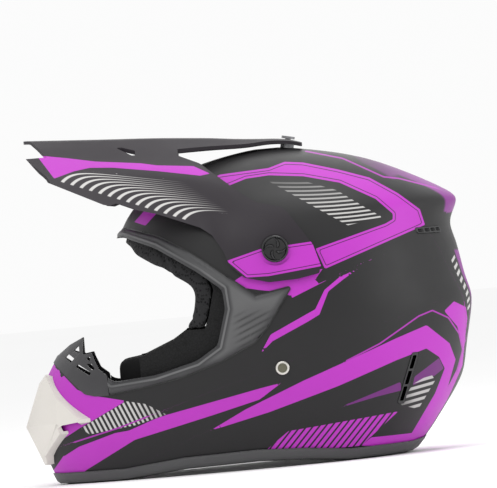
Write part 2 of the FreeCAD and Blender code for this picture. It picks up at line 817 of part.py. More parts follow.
def tail_height(y):
    """The drawn height of the tail's top, an arc about the pivot."""
    off = along(y) - PIVOT_Y
    return (PIVOT_Z + math.sqrt(TAIL_TOP_RADIUS**2 - off**2)) * DRAWN_CROWN / CROWN


def peak_half_sections():
    """The outer line of each section, from the middle to the foot of the side wall, as drawn (x, z)."""
    sections = []
    for y, ridge, fold_in, fold_out, foot in PEAK_SECTIONS:
        drop_x, drop_z = foot[0] - fold_out[0], foot[1] - fold_out[1]
        steps = len(FIN_HEIGHTS)
        shares = [(i + 1) / steps for i in range(steps)]
        wall = [(fold_out[0] + drop_x * share, fold_out[1] + drop_z * share) for share in shares]
        sections.append((y, ridge, fold_in, fold_out, wall))
    stand_off = (PEAK_OFF_SHELL + PEAK_WALL) * DRAWN_HALF_WIDTH / HALF_WIDTH
    tail_fins = [(y, (half, tail_height(y)), (66, 246), None) for y, half in TAIL_SECTIONS]
    for y, ridge, fold_in, fold_out in FIN_SECTIONS + tail_fins:
        wall = [(side_x(y, z) + stand_off + extra, z) for z, extra in FIN_HEIGHTS]
        if fold_out is None:
            fold_out = (wall[0][0] - 5, 234)
            fold_in = (fold_out[0] - 18, 246)
        sections.append((y, ridge, fold_in, fold_out, wall))
    return sections


def offset_line(line, by):
    """An open line of flat points moved square to itself, to the side of its left hand."""
    moved = []
    for i, here in enumerate(line):
        ahead = line[min(i + 1, len(line) - 1)] - line[max(i - 1, 0)]
        ahead.normalize()
        moved.append(here + Vector(-ahead.y, ahead.x, 0) * by)
    return moved


def peak_blank():
    """The peak before it is trimmed: a thin curved sheet over the brow and down both sides."""
    rows = []
    for y, ridge, fold_in, fold_out, wall in peak_half_sections():
        half, top = ridge
        inner_slope = (half + 4, top - 2.2) if y < 20 else (half + 4, top - 0.5)
        middle_slope = (0.5 * (half + fold_in[0]), 0.5 * (top + fold_in[1]) + 0.6)
        line = [(0, top), (0.6 * half, top), (half, top), inner_slope, middle_slope, fold_in, fold_out] + wall
        line = [Vector(across(x), up(z), 0) for x, z in line]
        whole = [Vector(-p.x, p.y, 0) for p in line[:0:-1]] + line
        under = offset_line(whole, -PEAK_WALL)
        ring = whole + under[::-1]
        rows.append([Vector(p.x, along(y), p.y) for p in ring])
    return capped_solid(rows)


def peak():
    blank = peak_blank()
    plan = PEAK_PLAN + [(-x, y) for x, y in PEAK_PLAN[-2:0:-1]]
    tail_plan = TAIL_PLAN + [(-p[0],) + tuple(p[1:]) for p in TAIL_PLAN[-2:0:-1]]
    blank = blank.common(plan_prism(plan, 0, HIGH))
    tail = blank.common(plan_prism(tail_plan, up(250), HIGH))
    body = blank.common(side_prism(PEAK_SIDE)).fuse(tail)
    for slot in (FRONT_SLOT, [(-x, y) for x, y in FRONT_SLOT]):
        body = body.cut(plan_prism(slot, 0, HIGH, 1.0))
    boss = rod_x(BOSS_RADIUS, BOSS_INNER_X, BOSS_OUTER_X, PIVOT_Y, PIVOT_Z)
    room = rod_x(BOSS_RADIUS + 1.5, BOSS_OUTER_X, WIDE, PIVOT_Y, PIVOT_Z)
    behind = rod_x(BOSS_RADIUS, 0, BOSS_INNER_X, PIVOT_Y, PIVOT_Z)
    hole = rod_x(STUD_RADIUS + RUNNING_FIT, 0, WIDE, PIVOT_Y, PIVOT_Z)
    body = body.cut(both_sides(room)).fuse(both_sides(boss)).cut(both_sides(behind)).cut(both_sides(hole))
    return body.cut(tail_slot()).removeSplitter()


def tail_slot():
    """The slot that lets the tail slide past its screw as the peak tilts."""
    half = TAIL_SCREW_RADIUS + MOVE_GAP
    slot = None
    steps = 8
    for i in range(steps + 1):
        turn = -PEAK_DOWN_DEG - 1 + (PEAK_UP_DEG + PEAK_DOWN_DEG + 2) * i / steps
        rod = radial_rod(half, TAIL_TOP_RADIUS - 8, TAIL_TOP_RADIUS + 8)
        rod.rotate(Vector(0, PIVOT_Y, PIVOT_Z), Vector(1, 0, 0), turn)
        slot = rod if slot is None else slot.fuse(rod)
    return slot


# ---------------------------------------------------------------- peak fasteners
def pivot_insert():
    """The threaded insert in the shell, on the left."""
    barrel = rod_x(INSERT_RADIUS, PIVOT_SHELL_X - INSERT_LENGTH, PIVOT_SHELL_X, PIVOT_Y, PIVOT_Z)
    flange = rod_x(INSERT_FLANGE_RADIUS, PIVOT_SHELL_X - 1, PIVOT_SHELL_X + INSERT_FLANGE, PIVOT_Y, PIVOT_Z)
    bore = rod_x(STUD_RADIUS + RUNNING_FIT, 0, WIDE, PIVOT_Y, PIVOT_Z)
    return barrel.fuse(flange.cut(outer)).cut(bore)


def tail_insert():
    seat = TAIL_TOP_RADIUS - PEAK_WALL - MOVE_GAP - 0.3
    barrel = radial_rod(INSERT_RADIUS, TAIL_SHELL - INSERT_LENGTH, seat)
    bore = radial_rod(TAIL_SCREW_RADIUS + RUNNING_FIT, TAIL_SHELL - INSERT_LENGTH - 1, seat + 1)
    return barrel.cut(bore)


def visor_knob():
    """The left pivot knob: a round head with grip ribs, and its stud."""
    head = rod_x(KNOB_RADIUS, KNOB_INNER_X, KNOB_INNER_X + KNOB_THICKNESS, PIVOT_Y, PIVOT_Z)
    rim = [e for e in head.Edges if e.BoundBox.XMin > KNOB_INNER_X + 1 and e.BoundBox.XLength < 1e-6]
    head = head.makeFillet(1.2, rim)
    dish = rod_x(KNOB_RADIUS * 0.62, KNOB_INNER_X + KNOB_THICKNESS - 0.9, WIDE, PIVOT_Y, PIVOT_Z)
    head = head.cut(dish)
    for i in range(KNOB_RIBS):
        turn = 2 * math.pi * i / KNOB_RIBS
        y = PIVOT_Y + (KNOB_RADIUS + 0.5) * math.cos(turn)
        z = PIVOT_Z + (KNOB_RADIUS + 0.5) * math.sin(turn)
        head = head.cut(rod_x(1.3, KNOB_INNER_X + 1.2, WIDE, y, z))
    half, thick = KNOB_RADIUS * 0.6, 1.6
    corner = Vector(KNOB_INNER_X + KNOB_THICKNESS - thick, PIVOT_Y - half, PIVOT_Z - thick)
    wing = Part.makeBox(thick, 2 * half, 2 * thick, corner)
    stud = rod_x(STUD_RADIUS, PIVOT_SHELL_X - INSERT_LENGTH + 1, KNOB_INNER_X + 1, PIVOT_Y, PIVOT_Z)
    return head.fuse(wing).fuse(stud)


def tail_screw():
    seat = TAIL_TOP_RADIUS + MOVE_GAP
    head = radial_rod(TAIL_HEAD_RADIUS, seat, seat + TAIL_HEAD_THICKNESS)
    shank = radial_rod(TAIL_SCREW_RADIUS, TAIL_SHELL - INSERT_LENGTH + 1, seat + 0.5)
    recess = radial_rod(1.0, seat + 0.8, seat + 5)
    lean = math.radians(TAIL_SCREW_AT)
    slot = Part.makeBox(6.4, 1.3, 1.2, Vector(-3.2, -0.65, seat + TAIL_HEAD_THICKNESS - 1.0))
    cross = Part.makeBox(1.3, 6.4, 1.2, Vector(-0.65, -3.2, seat + TAIL_HEAD_THICKNESS - 1.0))
    slots = slot.fuse(cross)
    slots.rotate(Vector(0, 0, 0), Vector(1, 0, 0), -math.degrees(lean))
    slots.translate(Vector(0, PIVOT_Y, PIVOT_Z))
    return head.fuse(shank).cut(slots).cut(recess)


# ---------------------------------------------------------------- chin strap
HANGER_OUTER_X = ANCHOR_SHELL_X - SHELL_WALL - HANGER_INSET
HANGER_INNER_X = HANGER_OUTER_X - HANGER_THICKNESS
HANGER_BAR_Z = ANCHOR_Z - 15.75  # middle of the bar that the webbing goes around


def strap_rivet():
    """The left rivet: a dished head outside, a collar and a clenched foot inside."""
    y, z = ANCHOR_Y, ANCHOR_Z
    top_x = ANCHOR_SHELL_X + RIVET_PROUD
    head = rod_x(RIVET_HEAD_RADIUS, ANCHOR_SHELL_X - 3, top_x, y, z)
    rim = [e for e in head.Edges if e.BoundBox.XMin > top_x - 0.1 and e.BoundBox.XLength < 1e-6]
    head = head.makeFillet(1.0, rim).cut(outer)
    dish = rod_x(RIVET_CENTRE_RADIUS, top_x - 0.7, WIDE, y, z)
    shank = rod_x(SHANK_RADIUS, HANGER_INNER_X - 2, ANCHOR_SHELL_X + 0.5, y, z)
    collar = rod_x(5.0, HANGER_OUTER_X + MOVE_GAP, ANCHOR_SHELL_X - SHELL_WALL + 1.5, y, z).common(inner)
    foot = rod_x(4.6, HANGER_INNER_X - MOVE_GAP - 1.2, HANGER_INNER_X - MOVE_GAP, y, z)
    return head.cut(dish).fuse(shank).fuse(collar).fuse(foot)


def strap_hanger():
    y, z = ANCHOR_Y, ANCHOR_Z
    eye = rod_x(HANGER_RADIUS, HANGER_INNER_X, HANGER_OUTER_X, y, z)
    plate = Part.makeBox(HANGER_THICKNESS, 28, 16, Vector(HANGER_INNER_X, y - 14, z - 17))
    width = STRAP_WIDTH + 1
    window_at = Vector(HANGER_INNER_X - HANGER_THICKNESS, y - width / 2, z - 14.5)
    window = Part.makeBox(3 * HANGER_THICKNESS, width, 4.2, window_at)
    hole = rod_x(SHANK_RADIUS + RUNNING_FIT, 0, WIDE, y, z)
    return eye.fuse(plate).cut(window).cut(hole)


def ribbon(points, radius, thickness):
    """A strip of webbing on edge: a flat line of (x, z) points given a thickness, with round bends."""
    line = [Vector(x, z, 0) for x, z in points]
    sides = []
    for sign in (1, -1):
        side = []
        for i, here in enumerate(line):
            last = line[max(i - 1, 0)]
            following = line[min(i + 1, len(line) - 1)]
            first = here - last if i > 0 else following - here
            second = following - here if i < len(line) - 1 else here - last
            first.normalize()
            second.normalize()
            normal = Vector(-first.y - second.y, first.x + second.x, 0)
            normal.normalize()
            lift = 0.5 * thickness / normal.dot(Vector(-first.y, first.x, 0))
            bend = first.x * second.y - first.y * second.x
            is_end = i in (0, len(line) - 1)
            round_by = 0.0 if is_end else radius - sign * math.copysign(0.5 * thickness, bend)
            moved = here + normal * lift * sign
            side.append((moved.x, moved.y, round_by))
        sides.append(side)
    corners = sides[0] + sides[1][::-1]
    y = ANCHOR_Y - STRAP_WIDTH / 2
    wire = rounded_wire(corners, lambda v: Vector(v.x, y, v.y))
    return Part.Face(wire).extrude(Vector(0, STRAP_WIDTH, 0))


def webbing_path(top_z):
    """From the hanger down beside the shell, in under the cheek pad and up its inner side, as (x, z)."""
    hang_x = HANGER_INNER_X + HANGER_THICKNESS / 2
    return [
        (hang_x - 0.6, HANGER_BAR_Z - HANGER_LOOP_RADIUS + 0.6),
        (hang_x - 2.4, HANGER_BAR_Z - HANGER_LOOP_RADIUS - 5),
        (across(85), STRAP_LOW_Z + 7),
        (across(79), STRAP_LOW_Z),
        (STRAP_INNER_X + 4, STRAP_LOW_Z),
        (STRAP_INNER_X, STRAP_LOW_Z + 5),
        (STRAP_INNER_X, top_z),
    ]


LEFT_TOP_Z = 57.0
RIGHT_TOP_Z = 102.0
RING_LOOP_ROOM = 0.5  # between a ring's bar and the webbing around it
RING_LOOP_RADIUS = RING_RADIUS + RING_LOOP_ROOM
FIRST_BAR_Z = LEFT_TOP_Z + RING_LOOP_RADIUS


def slot_block(radius, low, high):
    """A block with round ends across the strap's width, around the bars between two heights."""
    x, y = STRAP_INNER_X, ANCHOR_Y - STRAP_WIDTH / 2
    round_low = Part.makeCylinder(radius, STRAP_WIDTH, Vector(x, y, low), Vector(0, 1, 0))
    round_high = Part.makeCylinder(radius, STRAP_WIDTH, Vector(x, y, high), Vector(0, 1, 0))
    middle = Part.makeBox(2 * radius, STRAP_WIDTH, high - low, Vector(x - radius, y, low))
    return middle.fuse(round_low).fuse(round_high)


def hanger_loop():
    """The sewn loop of webbing through the hanger's window."""
    y = ANCHOR_Y - STRAP_WIDTH / 2
    x = HANGER_INNER_X + HANGER_THICKNESS / 2
    ring = Part.makeCylinder(HANGER_LOOP_RADIUS, STRAP_WIDTH, Vector(x, y, HANGER_BAR_Z), Vector(0, 1, 0))
    core_radius = HANGER_LOOP_RADIUS - 0.8 * STRAP_THICKNESS
    core = Part.makeCylinder(core_radius, STRAP_WIDTH, Vector(x, y, HANGER_BAR_Z), Vector(0, 1, 0))
    return ring.cut(core)


def strap_webbing(top_z):
    return ribbon(webbing_path(top_z), STRAP_BEND, STRAP_THICKNESS).fuse(hanger_loop())


def ring_loop():
    """The sewn loop at the left webbing's end, which holds both rings' bars."""
    low, high = FIRST_BAR_Z, FIRST_BAR_Z + RING_PITCH
    outside = slot_block(RING_LOOP_RADIUS + STRAP_THICKNESS, low, high)
    return outside.cut(slot_block(RING_LOOP_RADIUS, low, high))


def d_ring(bar_z, lean_deg):
    """A D-shaped ring hanging from its straight bar, which lies along the strap's width."""
    half = RING_WIDTH / 2
    bend = 9.0
    corners = [(-half, 0, 2.5), (half, 0, 2.5), (half, -RING_DROP, bend), (-half, -RING_DROP, bend)]
    path = rounded_wire(corners, lambda v: Vector(0, v.x, v.y))
    start = path.Edges[0].Vertexes[0].Point
    tangent = path.Edges[0].tangentAt(path.Edges[0].FirstParameter)
    section = Part.Wire([Part.makeCircle(RING_RADIUS, start, tangent)])
    ring = path.makePipeShell([section], True, False)
    ring.rotate(Vector(0, 0, 0), Vector(0, 1, 0), lean_deg)
    ring.translate(Vector(STRAP_INNER_X, ANCHOR_Y, bar_z))
    return ring


def snap_disc(z, height):
    x = STRAP_INNER_X - STRAP_THICKNESS / 2
    disc = rod_x(SNAP_RADIUS, x - height, x, ANCHOR_Y, z)
    rim = [e for e in disc.Edges if abs(e.BoundBox.XMin - (x - height)) < 1e-6 and e.BoundBox.XLength < 1e-6]
    return disc.makeFillet(0.6, rim)


# ---------------------------------------------------------------- write every piece
write("outer_shell", outer_shell())
write("eyeport_trim", eyeport_trim())
write("bottom_trim", bottom_trim())
write("nose_guard", nose_guard())
write_pair("rear_vent_grille", rear_vent_grille())
write_pair("side_vent_louvre", side_vent_louvre())
write("chin_vent_grille", chin_vent_grille())
write("chin_filter_foam", chin_filter_foam())
write("chin_vent_cover", chin_vent_cover())

room_inside = foam_space()
crown_half = eps_crown(room_inside).common(box(0, 200, -200, 200, 0, 300))
crown_half.translate(Vector(PIECE_GAP / 2, 0, 0))
write_pair("eps_crown", crown_half)
write("eps_chin", eps_chin(room_inside))
write("crown_liner", crown_liner(room_inside))
write("brow_pad", brow_pad(room_inside))
write("neck_roll", neck_roll(room_inside))
write_pair("cheek_pad", cheek_pad(room_inside))

write("peak", peak())
write_pair("pivot_insert", pivot_insert())
write("tail_insert", tail_insert())
write_pair("visor_knob", visor_knob())
write("tail_screw", tail_screw())

write_pair("strap_rivet", strap_rivet())
write_pair("strap_hanger", strap_hanger())
write("strap_webbing_left", strap_webbing(LEFT_TOP_Z).fuse(ring_loop()))
write("strap_webbing_right", mirrored(strap_webbing(RIGHT_TOP_Z)))
write("d_ring_inner", d_ring(FIRST_BAR_Z, 9))
write("d_ring_outer", d_ring(FIRST_BAR_Z + RING_PITCH, 33))
write("snap_stud", mirrored(snap_disc(RIGHT_TOP_Z - 10, 3.0)))
write("snap_socket", mirrored(snap_disc(RIGHT_TOP_Z - 48, 2.0)))
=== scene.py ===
import math

import bmesh
import bpy
import numpy as np
from mathutils import Matrix, Vector


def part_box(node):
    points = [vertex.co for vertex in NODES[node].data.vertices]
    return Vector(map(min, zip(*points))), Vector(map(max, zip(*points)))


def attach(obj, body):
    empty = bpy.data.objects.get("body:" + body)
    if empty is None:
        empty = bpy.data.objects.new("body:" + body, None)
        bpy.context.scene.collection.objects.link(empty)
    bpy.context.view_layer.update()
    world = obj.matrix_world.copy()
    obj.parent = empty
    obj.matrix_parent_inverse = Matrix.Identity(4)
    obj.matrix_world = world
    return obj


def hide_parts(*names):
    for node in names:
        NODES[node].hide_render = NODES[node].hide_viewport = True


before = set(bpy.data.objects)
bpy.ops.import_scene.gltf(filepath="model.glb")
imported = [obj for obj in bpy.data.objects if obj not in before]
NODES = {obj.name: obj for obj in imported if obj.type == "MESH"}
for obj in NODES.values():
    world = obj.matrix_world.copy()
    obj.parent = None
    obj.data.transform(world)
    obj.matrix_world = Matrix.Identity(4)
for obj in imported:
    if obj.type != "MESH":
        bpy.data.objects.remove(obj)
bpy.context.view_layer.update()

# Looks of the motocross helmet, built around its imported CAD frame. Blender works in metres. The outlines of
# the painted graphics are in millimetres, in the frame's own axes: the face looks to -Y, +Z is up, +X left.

MM = 0.001
SAME_PLACE = 0.002 * MM  # corners closer than this are one

# ---------------------------------------------------------------- painted graphics, side view, (y, z) in mm
UPPER_HOOK = [
    (-40, 232), (-10, 243), (30, 244.5), (44, 248.5), (59, 246.5), (87, 238), (112, 229), (134, 214),
    (151, 199), (154, 186), (120, 175), (68, 158), (62, 175), (121, 190), (127.5, 193), (128, 197.5),
    (115, 211), (87, 227), (58, 235), (30, 238.5), (11, 237.5), (-40, 222),
]
SPEAR = [(126, 167.5), (86, 155.5), (39, 137), (38, 150), (58, 151.5), (62, 146.5), (99, 160)]
UNDER_BAND = [(-12, 152), (8, 163), (66, 158), (60, 151), (42, 151), (38, 139), (28, 143), (13, 146)]
ZIGZAG = [
    (96, 156), (79, 150), (66, 141), (57, 126), (49, 122.5), (19, 109), (9, 94), (20, 103.5), (51, 117),
    (60, 121.5), (69, 139.5), (82, 148),
]
LOWER_HOOK = [
    (-38, 35), (-7, 50), (42, 69), (121, 96), (147, 104), (165, 87), (169, 73), (156, 40), (146, 22),
    (138, 13), (128, 6), (84, 11), (93, 17), (127, 16.5), (149, 47), (159, 67), (155, 77), (145, 85),
    (119, 78), (70, 62), (12, 46),
]
REAR_BAND = [
    (163, 114), (172, 121), (182, 115), (183, 91), (178, 73), (164, 48), (142, 10), (134, 10), (154, 41),
    (169, 64), (176, 80), (173, 100),
]
CHIN_FIELD = [
    (-172, 104), (-163, 101), (-144, 78), (-133, 72.5), (-104, 65.5), (-145, 46), (-175, 30), (-190, 60),
]
CHIN_SPEAR = [
    (-178, 4), (-172, 11), (-160, 25), (-150, 30), (-110, 41.5), (-73, 51), (6, 66), (24, 69), (5, 57),
    (-33, 48), (-100, 33), (-143, 11), (-150, 4),
]
CHIN_STRIPE = [(-175, 28), (-158, 33), (-136, 39), (-112, 45), (-128, 39.5), (-141, 34), (-160, 24)]
BROW_BAR = [(-84, 211), (-72, 222), (-64, 217), (-75, 207)]
PURPLE_SHAPES = [
    UPPER_HOOK, SPEAR, UNDER_BAND, ZIGZAG, LOWER_HOOK, REAR_BAND, CHIN_FIELD, CHIN_SPEAR, BROW_BAR,
]
INLINED_SHAPES = [UPPER_HOOK]  # these carry a thin dark line inside their edge
VIOLET_SHAPES = [
    [(131, 56), (133, 63), (155, 76), (158, 67), (150, 62)],
    [(64, 43), (121, 60), (121, 53), (100, 50)],
]
SHADE_SHAPES = [[(-146, 45), (-104, 65.5), (-88, 62), (-71, 52.5), (-104, 41), (-135, 38)], CHIN_STRIPE]
CHIN_RIBS = [(-144, 46), (-104, 65.2), (-88, 61.5), (-72, 51.5), (-98, 45), (-137, 40.5)]
UPPER_RIBS = [(28, 234.5), (58, 231), (84, 221), (104, 206), (119, 195.5), (90, 191.5), (60, 212)]
LOWER_RIBS = [(119, 41), (134, 36), (150, 58), (147, 64), (131, 57)]
HATCH_BLOCK = [(2, 12), (26, 29), (77, 33), (117, 36), (84, 11)]
THIN_LINES = [
    [(79, 82), (107, 93), (141, 112), (153, 115.5), (166, 108), (174, 94), (176, 80), (169, 62)],
    [(62, 256), (92, 247), (124, 228.5), (137, 226), (171, 214), (181, 209)],
    [(-150, 35), (-112, 44), (-88, 51)],
]
BACK_WEDGE = [(-22, 164), (22, 164), (7, 112), (4, 96), (-4, 96), (-7, 112)]  # (x, z), seen from behind
BACK_RIBS = [(24, 161), (33, 155), (19, 112), (11, 112)]
BACK_FRAME = [(28, 118), (15, 86), (5, 94), (10, 112)]
SPOILER = [(0, 96), (35, 106), (48, 132), (33, 138), (27, 186), (0, 190)]  # (x, y), seen from above

# The peak's graphics
PEAK_STRIPE = [
    (-159, 273.3), (-134, 268.5), (-111, 263.5), (-74, 258.5), (-61, 255.5), (-31, 252), (-18, 244.5),
    (-26, 243.5), (-60, 250.5), (-97, 257), (-116, 258.7), (-129, 257), (-145.5, 252.5),
]
PIVOT_BAND = [(-11, 172), (17, 179), (66, 181.5), (70, 161), (22, 156.5), (4, 157)]

SIDE_FROM = 16  # side graphics stop this far from the middle plane
BACK_FROM = 100  # graphics seen from behind start here
TOP_FROM = 195  # graphics seen from above start here
PEAK_SIDE_FROM, PEAK_WALL_FROM = 30, 62  # the peak's purple and its ribs, from the middle plane
FAR = 99.0  # a distance that no graphic reaches

BLACK_PAINT = (0.0085, 0.0082, 0.0088)
PURPLE_PAINT = (0.44, 0.028, 0.46)
VIOLET_PAINT = (0.13, 0.016, 0.15)
SILVER_PAINT = (0.50, 0.49, 0.48)
SATIN_SILVER = (0.66, 0.63, 0.585)


# ---------------------------------------------------------------- distances from drawn outlines
def polygon_distance(a, b, corners):
    """How far each point is from a closed outline, negative inside it."""
    nearest = np.full(a.shape, 1e9)
    inside = np.zeros(a.shape, bool)
    for (a0, b0), (a1, b1) in zip(corners, corners[1:] + corners[:1]):
        da, db = a1 - a0, b1 - b0
        share = np.clip(((a - a0) * da + (b - b0) * db) / (da * da + db * db), 0, 1)
        nearest = np.minimum(nearest, np.hypot(a - a0 - share * da, b - b0 - share * db))
        crosses = (b0 > b) != (b1 > b)
        at = a0 + (b - b0) * da / (db if abs(db) > 1e-9 else 1e-9)
        inside ^= crosses & (a < at)
    return np.where(inside, -nearest, nearest)


def union_distance(a, b, shapes):
    return np.min([polygon_distance(a, b, shape) for shape in shapes], axis=0)


def line_distance(a, b, points):
    """How far each point is to one side or the other of an open line."""
    nearest = np.full(a.shape, 1e9)
    signed = np.full(a.shape, 1e9)
    for (a0, b0), (a1, b1) in zip(points, points[1:]):
        da, db = a1 - a0, b1 - b0
        share = np.clip(((a - a0) * da + (b - b0) * db) / (da * da + db * db), 0, 1)
        off = np.hypot(a - a0 - share * da, b - b0 - share * db)
        side = np.sign(da * (b - b0) - db * (a - a0))
        signed = np.where(off < nearest, off * side, signed)
        nearest = np.minimum(nearest, off)
    return signed


def ramp(value, low, high):
    return np.clip((value - low) / (high - low), 0, 1)


# ---------------------------------------------------------------- pieces made from the CAD's own surfaces
def coordinates(mesh):
    places = np.empty(len(mesh.vertices) * 3)
    mesh.vertices.foreach_get("co", places)
    return places.reshape(-1, 3)


def vertex_normals(mesh):
    normals = np.empty(len(mesh.vertices) * 3)
    mesh.vertices.foreach_get("normal", normals)
    return normals.reshape(-1, 3)


def give(mesh, name, values):
    layer = mesh.attributes.new(name, "FLOAT", "POINT")
    layer.data.foreach_set("value", np.ascontiguousarray(values, np.float32))


def linked(name, data):
    """A new object in the scene, with this mesh, lamp or lens."""
    piece = bpy.data.objects.new(name, data)
    bpy.context.collection.objects.link(piece)
    return piece


def add_bevel(piece, width, segments, angle_deg):
    """Rounds the edges that turn more than the angle."""
    bevel = piece.modifiers.new("edges", "BEVEL")
    bevel.width = width
    bevel.segments = segments
    bevel.limit_method = "ANGLE"
    bevel.angle_limit = math.radians(angle_deg)
    bevel.harden_normals = True


def fine_copy(node, name, longest, wanted=None):
    """A copy of a CAD node's surface with its long edges split, shaded by the CAD's own normals."""
    mesh = NODES[node].data.copy()
    mesh.name = name
    normals = np.empty(len(mesh.loops) * 3, np.float32)
    mesh.corner_normals.foreach_get("vector", normals)
    layer = mesh.attributes.new("cad_normal", "FLOAT_VECTOR", "CORNER")
    layer.data.foreach_set("vector", normals)
    work = bmesh.new()
    work.from_mesh(mesh)
    bmesh.ops.remove_doubles(work, verts=work.verts, dist=SAME_PLACE)
    for _ in range(7):
        long = [e for e in work.edges if e.calc_length() > longest and (wanted is None or wanted(e))]
        if not long:
            break
        bmesh.ops.subdivide_edges(work, edges=long, cuts=1)
        bmesh.ops.triangulate(work, faces=[f for f in work.faces if len(f.verts) > 3])
    work.to_mesh(mesh)
    work.free()
    layer = mesh.attributes["cad_normal"]
    normals = np.empty(len(mesh.loops) * 3, np.float32)
    layer.data.foreach_get("vector", normals)
    normals = normals.reshape(-1, 3)
    normals /= np.maximum(np.linalg.norm(normals, axis=1, keepdims=True), 1e-9)
    mesh.attributes.remove(layer)
    mesh.shade_smooth()
    mesh.normals_split_custom_set(normals.tolist())
    return linked(name, mesh)


def stands_for(piece, body, slot, *nodes):
    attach(piece, body)
    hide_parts(*nodes)


def dress(piece, material):
    piece.data.materials.clear()
    piece.data.materials.append(material)


# ---------------------------------------------------------------- material nodes
class Nodes:
    """A short way to write a material's node tree."""

    def __init__(self, name):
        self.material = bpy.data.materials.new(name)
        self.material.use_nodes = True
        self.tree = self.material.node_tree
        self.skin = self.tree.nodes["Principled BSDF"]
        self.place = self.tree.nodes.new("ShaderNodeTexCoord").outputs["Object"]

    def put(self, socket, value):
        if isinstance(value, bpy.types.NodeSocket):
            self.tree.links.new(value, socket)
        elif isinstance(value, tuple) and len(socket.default_value) == 4:
            socket.default_value = (*value, 1.0)
        else:
            socket.default_value = value

    def math(self, operation, first, second=0.0, third=0.0):
        node = self.tree.nodes.new("ShaderNodeMath")
        node.operation = operation
        for socket, value in zip(node.inputs, (first, second, third)):
            self.put(socket, value)
        return node.outputs[0]

    def smooth(self, value, low, high):
        """0 at low, 1 at high, smooth between them."""
        node = self.tree.nodes.new("ShaderNodeMapRange")
        node.interpolation_type = "SMOOTHSTEP"
        for key, given in (("Value", value), ("From Min", low), ("From Max", high)):
            self.put(node.inputs[key], given)
        return node.outputs[0]

    def mix(self, share, first, second):
        node = self.tree.nodes.new("ShaderNodeMix")
        node.data_type = "RGBA"
        self.put(node.inputs["Factor"], share)
        self.put(node.inputs[6], first)
        self.put(node.inputs[7], second)
        return node.outputs[2]

    def value(self, name):
        node = self.tree.nodes.new("ShaderNodeAttribute")
        node.attribute_name = name
        return node.outputs["Fac"]

    def noise(self, scale, detail=2.0):
        node = self.tree.nodes.new("ShaderNodeTexNoise")
        self.put(node.inputs["Vector"], self.place)
        node.inputs["Scale"].default_value = scale
        node.inputs["Detail"].default_value = detail
        return node.outputs["Fac"]

    def cells(self, scale, feature="F1"):
        node = self.tree.nodes.new("ShaderNodeTexVoronoi")
        node.feature = feature
        self.put(node.inputs["Vector"], self.place)
        node.inputs["Scale"].default_value = scale
        return node.outputs["Distance"]

    def wave(self, scale, direction):
        node = self.tree.nodes.new("ShaderNodeTexWave")
        node.bands_direction = direction
        self.put(node.inputs["Vector"], self.place)
        node.inputs["Scale"].default_value = scale
        return node.outputs["Fac"]

    def bump(self, height, strength, distance):
        node = self.tree.nodes.new("ShaderNodeBump")
        node.inputs["Strength"].default_value = strength
        node.inputs["Distance"].default_value = distance
        self.put(node.inputs["Height"], height)
        self.put(self.skin.inputs["Normal"], node.outputs[0])

    def finish(self, colour, roughness, metallic=0.0, **others):
        self.put(self.skin.inputs["Base Color"], colour)
        self.put(self.skin.inputs["Roughness"], roughness)
        self.put(self.skin.inputs["Metallic"], metallic)
        for key, given in others.items():
            self.put(self.skin.inputs[key.replace("_", " ")], given)
        return self.material


def uneven(nodes, low, high, scale=60.0):
    """A roughness that wanders a little over the surface."""
    return nodes.math("MULTIPLY_ADD", nodes.noise(scale, 4.0), high - low, low)


def shell_paint():
    """Satin black with the painted graphics, whose distances are stored on the surface in millimetres."""
    n = Nodes("shell_paint")
    black = n.mix(n.noise(9.0, 3.0), BLACK_PAINT, tuple(1.35 * c for c in BLACK_PAINT))
    purple = n.mix(n.noise(14.0, 2.0), tuple(0.9 * c for c in PURPLE_PAINT), PURPLE_PAINT)
    colour = black
    glow = n.value("glow")
    colour = n.mix(glow, colour, (0.20, 0.024, 0.22))
    shape = n.value("purple")
    colour = n.mix(n.smooth(shape, 0.15, -0.15), colour, purple)
    inset = n.math("ABSOLUTE", n.math("ADD", shape, 2.1))
    inset = n.math("MULTIPLY", n.smooth(inset, 0.42, 0.22), n.value("inlined"))
    colour = n.mix(inset, colour, tuple(0.12 * c for c in PURPLE_PAINT))
    colour = n.mix(n.smooth(n.value("violet"), 0.15, -0.15), colour, VIOLET_PAINT)
    colour = n.mix(n.smooth(n.value("shade"), 0.15, -0.15), colour, black)
    for name, paint, width in (("hatch", purple, 0.33), ("rib", SILVER_PAINT, n.value("rib_width"))):
        swing = n.math("PINGPONG", n.value(f"{name}_phase"), 0.5)
        edge = n.math("SUBTRACT", 0.5, width)
        bars = n.smooth(n.math("SUBTRACT", swing, edge), -0.05, 0.05)
        bars = n.math("MULTIPLY", bars, n.smooth(n.value(name), 0.2, -0.2))
        bars = n.math("MULTIPLY", bars, n.value(f"{name}_fade"))
        colour = n.mix(bars, colour, paint)
    for i in range(len(THIN_LINES) + 1):
        trace = n.math("ABSOLUTE", n.value(f"line_{i}"))
        colour = n.mix(n.smooth(trace, 0.75, 0.45), colour, tuple(0.75 * c for c in PURPLE_PAINT))
    n.bump(n.noise(900.0, 2.0), 0.05, 0.0002)
    return n.finish(colour, uneven(n, 0.42, 0.52), Specular_IOR_Level=0.32)


def moulded(name, colour, low, high, grain=1500.0, depth=0.12):
    """Moulded plastic or rubber with a fine grain."""
    n = Nodes(name)
    shade = n.mix(n.noise(30.0, 4.0), tuple(0.85 * c for c in colour), tuple(1.15 * c for c in colour))
    n.bump(n.noise(grain, 3.0), depth, 0.0003)
    return n.finish(shade, uneven(n, low, high))


